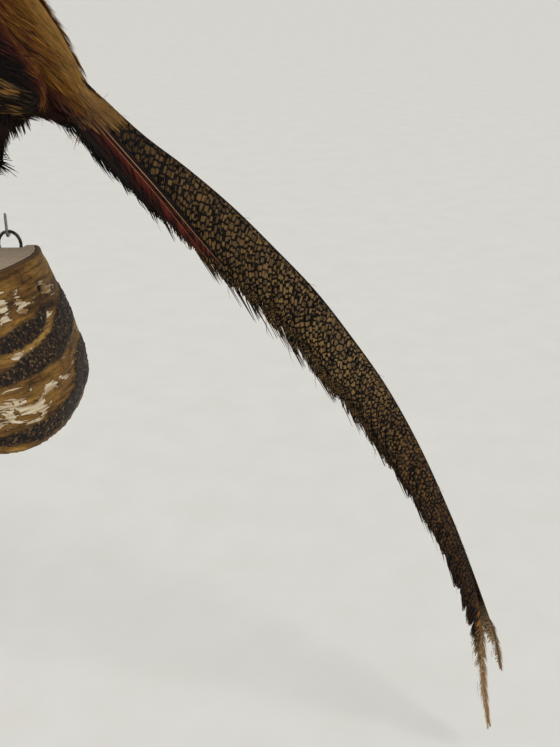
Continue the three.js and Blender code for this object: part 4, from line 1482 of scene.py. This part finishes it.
# %% Barbs of a long feather
def barbs(ribs, sign, start, end, count, seed, out=0.8 * MM, reach=0.97, drop=0.0, stations=6,
          width=1.25 * MM, ragged=0.07, slant=0.8, clump=0.3, outline=((0, 1), (1, 1))):
    """The barbs on one side of a long feather: rings, and each ring point's place on the vane."""
    rng = np.random.default_rng(seed)
    foot = np.linspace(start, end, count) + rng.normal(0, 0.0004, count)
    foot = foot[rng.random(count) > 0.62 * ease(0.85, 0.91, foot)]
    count = len(foot)
    group = np.cumsum(rng.random(count) < 0.11)
    groups = group[-1] + 1
    middle = np.array([foot[group == g].mean() for g in range(groups)])[group]
    loose = rng.uniform(-0.05, 0.05, groups)[group]
    span = np.linalg.norm(spline(ribs, foot)[:, [0, 1]] - spline(ribs, foot)[:, [2, 3]], axis=1)
    stretch = reach - np.abs(rng.normal(0, ragged, groups))[group] * 0.4 - rng.uniform(0, ragged, count)
    stretch = stretch * (1 - rng.uniform(0, 0.85, count) * ease(0.78, 0.9, foot))
    stretch = stretch * np.interp(foot, *np.array([(start + (end - start) * a, b) for a, b in outline]).T)
    share = np.linspace(0, 1, stations)[None, :]
    across = drop + share * (stretch - drop)[:, None]
    lead = slant * span[:, None] / TAIL_LENGTH * (0.5 * share + 0.75 * share**3)
    gather = (middle - foot)[:, None] * clump * share**2 + loose[:, None] * 0.08 * share**2
    along = foot[:, None] + lead + gather
    ending = np.clip((end + 0.012 - along) / 0.02, 0, 1)
    lift = out + rng.uniform(0, 0.5 * MM, (count, 1)) + share * rng.normal(0, 0.5 * MM, (count, 1))
    lines, ups = tail_point(ribs, sign, np.minimum(along, 1.0), across, lift * np.ones_like(along))
    fine = np.interp(foot, [0.78, 0.86, 1.0], [1, 0.36, 0.24])[:, None]
    widths = np.interp(share, [0, 0.3, 0.85, 1], [0.9, 1, 0.8, 0.15]) * width * fine * (0.35 + 0.65 * ending)
    rings = rings_along(lines, ups, widths, np.full_like(widths, 0.16 * MM), VANE)
    place = np.stack([along * TAIL_LENGTH, across * span[:, None] * sign], -1)
    return rings, place, foot


WIDEST_VANE = 45 * MM  # from shaft to edge


def strip_patches(foot, place, start, end, rows, columns, slot, slots, sides):
    """Bake patches for barbs: the vane cut into lengths, laid side by side in a grid."""
    cells = rows * columns
    share = np.clip((foot - start) / (end - start), 0, 0.9999) * (cells // slots)
    cell = share.astype(int) + slot * (cells // slots)
    size = (end - start) / (cells // slots)
    local = (place[..., 0] / TAIL_LENGTH - start) / size - share.astype(int)[:, None]
    u = (cell % columns)[:, None] + 0.05 + 0.55 * np.clip(local, 0, 1.6)
    v = (cell // columns)[:, None] + 0.5 + np.clip(place[..., 1] / WIDEST_VANE, -1, 1) * 0.45
    patch = np.stack([u / columns, v / rows], -1)[:, :, None, :]
    return np.repeat(patch, sides, axis=2)


# %% [markdown]
# The two great central feathers carry the bird's best known pattern: ochre spots in a black net.
# On the vane's own map, a Voronoi pattern gives the cells, and its distance to the edge gives the
# net. The spots grow dark and grey at the base, and fade into plain tan barbs at the tip.


# %% The netted finish
def netted_material(name, fine=165.0, wide=205.0, light=1.0):
    material, shader = new_material(name, Roughness=0.6, Specular_IOR_Level=0.12)
    vane = node(material, "UVMap", uv_map="Vane").outputs[0]
    parts = node(material, "SeparateXYZ", {0: vane})
    along, across = parts.outputs["X"], parts.outputs["Y"]
    aside = maths(material, "ABSOLUTE", across)
    share = maths(material, "DIVIDE", along, TAIL_LENGTH)
    skewed = maths(material, "SUBTRACT", along, product(material, aside, 0.55))
    warp = node(material, "TexNoise", {"Vector": vane, "Scale": 160.0, "Detail": 2.0}).outputs["Fac"]
    finer = total(material, product(material, along, 0.55 / TAIL_LENGTH), 1.0)
    flat = node(material, "CombineXYZ", {
        "X": product(material, product(material, skewed, fine), finer),
        "Y": total(material, product(material, product(material, across, wide), finer),
                   product(material, warp, 0.7)),
    }).outputs[0]
    edge = node(material, "TexVoronoi", {"Vector": flat, "Scale": 1.0, "Randomness": 0.85},
                feature="DISTANCE_TO_EDGE", voronoi_dimensions="2D").outputs["Distance"]
    cell = node(material, "TexVoronoi", {"Vector": flat, "Scale": 1.0, "Randomness": 0.85},
                voronoi_dimensions="2D").outputs["Color"]
    ochre = ramp(material, node(material, "SeparateColor", {0: cell}).outputs[0],
                 [(0.0, paint(98, 78, 50)), (0.5, paint(144, 116, 74)), (1.0, paint(90, 72, 50))])
    ochre = times(material, ochre, grey(light))
    base = ramp(material, share,
                [(0.0, paint(96, 84, 70)), (0.16, paint(200, 190, 180)), (0.45, paint(255, 255, 255)),
                 (0.58, paint(206, 192, 180)), (0.72, paint(150, 128, 108))])
    spots = times(material, ochre, base)
    net = step(material, edge, 0.11, 0.22)
    pattern = mix(material, net, paint(12, 10, 9), spots)
    tips = step(material, share, 0.77, 0.82)
    streak = node(material, "TexNoise", {"Vector": node(material, "CombineXYZ", {
        "X": product(material, skewed, 700.0), "Y": product(material, across, 60.0),
    }).outputs[0], "Scale": 1.0, "Detail": 3.0}).outputs["Fac"]
    late = step(material, share, 0.83, 0.91)
    inward = total(material, streak, product(material, aside, -26.0))
    brown = ramp(material, inward, [(0.38, paint(22, 15, 10)), (0.50, paint(150, 106, 58))])
    pale = ramp(material, streak, [(0.34, paint(88, 66, 42)), (0.56, paint(200, 168, 124))])
    tan = mix(material, late, brown, pale)
    wire(material, mix(material, tips, pattern, tan), shader.inputs["Base Color"])
    bump(material, shader, streak, 0.25, 0.4 * MM)
    return material


netted = netted_material("netted_tail_vane")
streaky = netted_material("streaky_tail_vane", 300.0, 70.0, 0.8)

# %% [markdown]
# Four sets of long feathers lie over one another: the great central pair, an inner pair that shows
# through its slits, a loose fringe along the lower edge, and the shorter pairs beneath them. One
# function lays a feather from barbs on both sides, and each set gets its own length and wear.


# %% Lay the long feathers
def long_feather(name, near, far, count, material, slot, seed=31, shift=0.0, **shape):
    """A long central feather: barbs on both sides of one shaft."""
    parts = []
    for number, (ribs, sign, end) in enumerate(((TIP_NEAR, -1, near), (TIP_FAR, 1, far))):
        ribs = np.concatenate([TAIL, ribs])
        rings, place, foot = barbs(ribs, sign, 0.0, end, count, seed + number, **shape)
        bake = strip_patches(foot, place, 0.0, end, 6, 4, number, 2, rings.shape[2])
        parts.append((rings, place + shift, bake))
    rings, place, bake = (np.concatenate([p[i] for p in parts]) for i in range(3))
    vane = np.repeat(place[:, :, None, :], rings.shape[2], axis=2)
    obj = join_lofts(name, rings, np.ones(rings.shape[:2] + (3,)), bake, vane)
    return dress(obj, material, slot)


central = long_feather("tail_central_pair", 0.985, 0.985, 900, netted, "feather_tail", ragged=0.04,
                       outline=((0, 1), (0.2, 0.98), (0.3, 0.80), (0.5, 0.80), (0.64, 0.97), (1, 1)))
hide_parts("tail_left", "tail_right")
long_feather("tail_central_inner", 0.90, 0.88, 760, streaky, "feather_tail", seed=131, shift=0.033,
             out=-1.0 * MM, reach=1.0, width=1.1 * MM, ragged=0.08, clump=0.6, stations=5, slant=1.0)
long_feather("tail_fringe", 0.80, 0.78, 460, streaky, "feather_tail", seed=331, shift=0.05, out=-1.6 * MM,
             reach=1.13, drop=0.5, width=0.6 * MM, ragged=0.28, clump=0.85, stations=5, slant=1.25)
laterals = long_feather("tail_lateral_pairs", 0.62, 0.60, 420, netted, "feather_tail", seed=231,
                        out=-2.4 * MM, reach=1.0, width=1.6 * MM, ragged=0.09, stations=4,
                        outline=((0, 1), (0.38, 1), (0.5, 0.72), (0.8, 0.6), (1, 0.3)))
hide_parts("tail_inner")

# %% [markdown]
# ## Narrow pieces of the tail
# Shafts, coverts and wisps are all strands between two places on the tail's roof, so they share one
# function that works in the tail's own frame: how far along, how far across and how far out.

# %% Strands in the tail's frame
NEAR, FAR = np.concatenate([TAIL, TIP_NEAR]), np.concatenate([TAIL, TIP_FAR])
HALVES = ((NEAR, -1), (FAR, 1))


def tail_strands(ribs, sign, starts, ends, out, widths, stations=6, bow=0.0, rise=0.0):
    """Strands between places on the tail: rings, and a bake patch at each root."""
    share = np.linspace(0, 1, stations)[None, :]
    path = starts[:, None] + (ends - starts)[:, None] * share[..., None]
    path[..., 1] += bow * np.sin(np.pi * share)
    out, widths = (np.broadcast_to(np.asarray(v), (len(starts),))[:, None] for v in (out, widths))
    lift = out + rise * share**2
    lines, ups = tail_point(ribs, sign, path[..., 0], path[..., 1], lift)
    spread = np.interp(share, [0, 0.4, 1], [0.8, 1, 0.15]) * widths
    rings = rings_along(lines, ups, spread, spread * 0.6, STRAND)
    u = 0.02 + 0.94 * starts[:, 0]
    v = 0.5 + sign * (0.05 + 0.3 * np.clip(starts[:, 1], -0.1, 1.4))
    along = np.linspace(0, PATCH, stations)[None, :, None] + u[:, None, None]
    aside = np.linspace(0, PATCH, len(STRAND))[None, None, :] + v[:, None, None]
    return rings, np.stack(np.broadcast_arrays(along, aside), -1)


def strand_piece(name, parts, material, slot):
    """One dressed mesh of several sets of strands, each with its own colours."""
    rings = np.concatenate([p[0] for p in parts])
    bake = np.concatenate([p[1] for p in parts])
    tones = np.concatenate([p[2] for p in parts])
    return dress(join_lofts(name, rings, tones, bake), material, slot)


def graded(colour, count, stations, seed, shade=(0.6, 1.1)):
    """A tone for each strand that runs from a dark root to a lighter tip."""
    return tinted(colour, count, seed)[:, None, :3] * np.linspace(*shade, stations)[None, :, None]


# %% [markdown]
# The shafts of the two central feathers run along the ridge of the roof. They are nearly black and
# grow pale and bare towards the tip, where the barbs have worn away.

# %% Lay the shafts
plain_barbs = plumage_material("narrow_tail_plumes", 1.0, 0.5, 0.02)
parts = []
for ribs, sign in HALVES:
    root, tip = np.array([[0.05, 0.0]]), np.array([[0.985, 0.0]])
    rings, bake = tail_strands(ribs, sign, root, tip, 0.8 * MM, 1.0 * MM, 60)
    tones = np.array(paint(20, 15, 12))[None, None, :3] * np.ones((1, 60, 1))
    tones[:, 44:] = np.array(paint(120, 84, 54))[:3] * np.linspace(0.3, 1.1, 16)[None, :, None]
    parts.append((rings, bake, tones))
strand_piece("tail_shafts", parts, plain_barbs, "feather_tail")

# %% [markdown]
# The red tail coverts are lance-shaped plumes with pale shafts, laid outside the roof from the root
# down. Each is given by its shaft, its half width, how far out it lies, and the colours of its upper
# and lower barbs and of its shaft. Barbs in groups of six share a tone, which shows them as clumps.

# %% Lay the red coverts
BARBS_IN_GROUP = 6
BARBS_PER_COVERT = 52 * BARBS_IN_GROUP
ROOF_WIDTH = 33 * MM  # from ridge to edge near the root
NIGHT, WINE, BRICK = paint(20, 13, 11), paint(46, 18, 13), paint(84, 29, 17)
COVERTS = [
    # shaft from and to, as (along, across); half width and out in millimetres; upper, lower, shaft
    ((0.0, 0.76), (0.150, 0.88), 5.0, 2.4, NIGHT, NIGHT, paint(60, 36, 26)),
    ((0.0, 0.46), (0.200, 0.86), 6.0, 3.0, WINE, WINE, paint(120, 62, 40)),
    ((0.0, 0.64), (0.172, 0.90), 5.0, 3.6, NIGHT, WINE, paint(74, 36, 24)),
    ((0.0, 0.40), (0.246, 0.82), 6.0, 4.4, NIGHT, BRICK, paint(206, 150, 106)),
    ((0.0, 0.50), (0.222, 0.90), 5.0, 5.0, WINE, BRICK, paint(176, 96, 60)),
]
covert_parts, shaft_parts = [], []
for ribs, sign in HALVES:
    for number, (start, end, half, out, upper, lower, shaft) in enumerate(COVERTS):
        start, end, rng = np.array(start), np.array(end), np.random.default_rng(60 + number)
        share = np.linspace(0, 1, BARBS_PER_COVERT)
        foot = start + (end - start) * share[:, None]
        foot[:, 1] += np.sin(np.pi * share) * 0.03 * (1 - number % 3)
        wide = np.interp(share, [0, 0.15, 0.55, 0.85, 1], [0.5, 0.85, 1, 0.6, 0.12]) * half * MM
        wide = wide * rng.uniform(0.75, 1.15, len(share))
        below = np.arange(len(share)) % 2 > 0
        spread = np.stack([wide * 2.6 / TAIL_LENGTH, np.where(below, 1, -0.4) * wide / ROOF_WIDTH], 1)
        rings, bake = tail_strands(ribs, sign, foot, foot + spread, out * MM, 0.55 * MM, 4, rise=-0.5 * MM)
        tones = np.where(below[:, None, None], graded(lower, len(share), 4, 61 + number, (1.0, 0.75)),
                         graded(upper, len(share), 4, 61 + number, (1.0, 0.75)))
        group_tone = rng.choice([0.25, 0.7, 1.0, 1.35], len(share) // BARBS_IN_GROUP)
        tones = tones * group_tone.repeat(BARBS_IN_GROUP)[:, None, None]
        covert_parts.append((rings, bake, tones))
        rings, bake = tail_strands(ribs, sign, start[None], end[None] + [[0.012, 0.01]], (out + 0.5) * MM,
                                   0.32 * MM, 24, bow=0.03 * (1 - number % 3))
        tone = np.array(shaft)[None, None, :3] * np.linspace(0.7, 1.0, 24)[None, :, None]
        shaft_parts.append((rings, bake, tone))
red_coverts = strand_piece("tail_red_coverts", covert_parts, plain_barbs, "feather_red")
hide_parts("covert_left", "covert_right")
strand_piece("covert_shafts", shaft_parts, plain_barbs, "feather_red")

# %% [markdown]
# Black wisps hang under the tail's root, and a few stray barbs stand off above and below, as on any
# old mount. They are random, and the seeds keep them the same each time.

# %% Lay wisps and stray barbs
wisps = []
for ribs, sign in HALVES:
    rng = np.random.default_rng(70)
    count = 460
    foot = np.stack([rng.uniform(-0.02, 0.15, count), rng.uniform(0.55, 0.94, count)], 1)
    onward, down = rng.uniform(0.014, 0.036, count), rng.uniform(0.02, 0.24, count)
    reach = foot + np.stack([onward, down * (1.0 - foot[:, 0] * 5)], 1)
    out = rng.uniform(-2, 2.4, count) * MM
    rings, bake = tail_strands(ribs, sign, foot, reach, out, 0.42 * MM, 5, bow=0.03)
    wisps.append((rings, bake, graded(paint(18, 13, 11), count, 5, 71)))
    count = 26
    foot = np.stack([rng.uniform(0.02, 0.93, count), np.where(rng.random(count) < 0.4, 0.02, 0.9)], 1)
    reach = foot + np.stack([rng.uniform(0.012, 0.03, count), np.where(foot[:, 1] < 0.5, -0.12, 0.22)], 1)
    rings, bake = tail_strands(ribs, sign, foot, reach, 0.6 * MM, 0.16 * MM, 5, bow=0.04)
    wisps.append((rings, bake, graded(paint(60, 46, 32), count, 5, 72)))
strand_piece("tail_wisps", wisps, plain_barbs, "feather_tail")

# %% [markdown]
# ## From rump to tail
# The last golden plumes leave the rump and sweep on to the tail. Each is one smooth curve with a
# start and a direction on the body, and an end and a direction on the roof. Five plumes share each
# root. Each swells out a little on its way, and long ones sag back towards the body.

# %% Bridge rump and tail
PER_ROOT = 5


def bridge(ribs, sign, count, seed):
    """Plumes from the end of the rump that sweep on to the tail's roof in one smooth curve each."""
    rng = np.random.default_rng(seed)
    clumps = count // PER_ROOT

    def shared(values):
        return values.repeat(PER_ROOT, axis=0)

    def density(points):
        back, _, _ = on_bird(points)
        side = ease(-3 * MM, 1 * MM, sign * (points[:, 1] - BODY_Y))
        return ease(284, 300, back / MM) * side * ease(-10 * MM, 0, above_flank_line(points)) + 1e-7

    roots = shared(body.scatter(clumps, density, seed)) + rng.normal(0, 0.4 * MM, (count, 3))
    starts, ups = body.nearest(roots)
    _, way, angle = on_bird(starts)
    across = np.interp(np.degrees(np.abs(angle)), [0, 25, 60, 95, 130], [0.0, 0.10, 0.40, 0.68, 0.85])
    across = across + shared(rng.normal(0, 0.05, clumps)) + rng.normal(0, 0.02, count)
    across = np.clip(across, 0.0, 0.95)
    along = np.interp(across, [0, 0.12, 0.49, 0.77, 0.95], [0.056, 0.054, 0.047, 0.038, 0.028])
    along = along * shared(rng.uniform(0.55, 1.08, clumps)) * rng.uniform(0.9, 1.08, count)
    out = rng.uniform(0.9, 3.6, count) * MM * np.interp(across, [0, 0.2, 0.4, 1], [0.55, 1, 1.7, 1.9])
    ends, end_ups = tail_point(ribs, sign, along, across, out)
    ahead, _ = tail_point(ribs, sign, along + 0.02, across, out)
    gap = np.linalg.norm(ends - starts, axis=1)[:, None, None]
    leave = unit(way - ups * (way * ups).sum(1)[:, None])[:, None]
    arrive = unit(ahead - ends)[:, None]
    t = np.linspace(0, 1, 6)[None, :, None]
    lines = ((1 + 2 * t) * (1 - t) ** 2 * (starts + ups * MM)[:, None] + t * (1 - t) ** 2 * gap * leave
             + t**2 * (3 - 2 * t) * ends[:, None] + t**2 * (t - 1) * gap * arrive)
    turned = unit(ups[:, None] * (1 - t) + end_ups[:, None] * t)
    swell = rng.uniform(0.3, 2.6, count) * MM * np.interp(across, [0, 0.2], [0.4, 1])
    sag = 0.075 * gap[:, 0, 0] * np.interp(across, [0, 0.5], [1, 0.3])
    lines = lines + turned * ((swell - sag)[:, None, None] * 4 * t * (1 - t))
    widths = np.interp(t[..., 0], [0, 0.4, 1], [0.8, 1, 0.15]) * rng.uniform(0.28, 0.46, (count, 1)) * MM
    tones = plumage(starts + shared(rng.normal(0, 4 * MM, (clumps, 3))))[:, None, :3]
    # Each plume runs from dark at its root to lighter at its tip: painted shade where it leaves the body,
    # painted light further out.
    tones = tones * np.linspace(0.4, 1.1, 6)[None, :, None]
    tones = tones * shared(rng.uniform(0.5, 1.5, (clumps, 1, 1)))
    golden = ease(-4 * MM, 6 * MM, above_flank_line(starts))[:, None, None]
    bright = shared(rng.uniform(0, 0.8, (clumps, 1, 1))) * t**2 * golden
    tones = tones + (np.array(GOLD_PALE)[:3] - tones) * bright
    return rings_along(lines, turned, widths, widths * 0.7, STRAND), root_patches(starts, 6, 3), tones


bridges = [bridge(NEAR, -1, 1700, 80), bridge(FAR, 1, 1400, 81)]
strand_piece("rump_end_plumes", bridges, gold_coat, "feather_body")

# %% [markdown]
# The tail ends in two frayed points. Over the last fifth, loose barbs stand off both sides of the
# ridge, shorter on the far feather.

# %% Fray the tail's tips
tips = []
for ribs, sign, end, count, side_reach in ((NEAR, -1, 0.99, 420, 1.0), (FAR, 1, 0.985, 200, 0.6)):
    rng = np.random.default_rng(90)
    foot = np.stack([rng.uniform(0.82, end, count), rng.uniform(-0.02, 0.05, count)], 1)
    side = np.where(rng.random(count) < 0.5, -1.0, 1.0) * np.interp(foot[:, 0], [0.82, 0.92], [0.5, 1])
    onward = rng.uniform(0.016, 0.034, count)
    reach = foot + np.stack([onward, side * rng.uniform(0.3, 1.0, count) * side_reach], 1)
    reach[:, 0] = np.minimum(reach[:, 0], 1.0)
    rings, bake = tail_strands(ribs, sign, foot, reach, 0.4 * MM, 0.26 * MM, 5, bow=-0.05)
    paler = np.interp(foot[:, 0], [0.8, 0.9], [0.55, 1.1])[:, None, None]
    tips.append((rings, bake, graded(paint(152, 120, 80), count, 5, 91, (0.45, 1.35)) * paler))
strand_piece("tail_tip_barbs", tips, plain_barbs, "feather_tail")

# %% [markdown]
# ## Studio
# A large pale floor below the bird, a broad soft key light from the upper right, a fill light and
# a soft sky. The camera looks down 25 degrees past the tail.

# %% Floor, lights and camera
bpy.ops.object.select_all(action="DESELECT")
bpy.ops.mesh.primitive_plane_add(size=60, location=(0, 12, -0.47))
floor = bpy.context.object
floor.name = "studio_floor"
bpy.ops.object.transform_apply(location=True)
floor_material, floor_shader = new_material("pale_floor", Roughness=0.9)
mottle = node(floor_material, "TexNoise", {"Vector": place_of(floor_material, 3.0), "Detail": 4.0})
wire(floor_material, ramp(floor_material, mottle.outputs["Fac"],
     [(0.3, paint(235, 235, 230)), (0.7, paint(239, 239, 235))]), floor_shader.inputs["Base Color"])
floor.data.materials.append(floor_material)


def area_light(name, place, aim, size, power, colour=(1, 1, 1)):
    light = bpy.data.lights.new(name, "AREA")
    light.size, light.energy, light.color = size, power, colour
    lamp = bpy.data.objects.new(name, light)
    lamp.location = place
    lamp.rotation_mode = "QUATERNION"
    lamp.rotation_quaternion = (Vector(aim) - Vector(place)).to_track_quat("-Z", "Y")
    bpy.context.scene.collection.objects.link(lamp)


sun = bpy.data.lights.new("key_light", "SUN")
sun.energy, sun.angle, sun.color = 1.25, math.radians(22), (1.0, 0.98, 0.95)
lamp = bpy.data.objects.new("key_light", sun)
lamp.rotation_mode = "QUATERNION"
lamp.rotation_quaternion = Vector((-0.62, 0.62, -0.95)).to_track_quat("-Z", "Y")
bpy.context.scene.collection.objects.link(lamp)
area_light("fill_light", (-1.6, -1.6, 1.0), (0.1, 0, 0.1), 2.0, 6)
bpy.context.scene.view_settings.view_transform = "Standard"
world = bpy.context.scene.world or bpy.data.worlds.new("studio_sky")
bpy.context.scene.world = world
world.use_nodes = True
world.node_tree.nodes["Background"].inputs["Color"].default_value = (1.0, 0.985, 0.96, 1)
world.node_tree.nodes["Background"].inputs["Strength"].default_value = 0.5

camera_data = bpy.data.cameras.new("camera")
camera_data.lens = 48.2
camera_data.clip_end = 100
camera = bpy.data.objects.new("camera", camera_data)
camera.location = (0.273, -0.772, 0.309)
camera.rotation_euler = (math.radians(65), 0, 0)
bpy.context.scene.collection.objects.link(camera)
bpy.context.scene.camera = camera
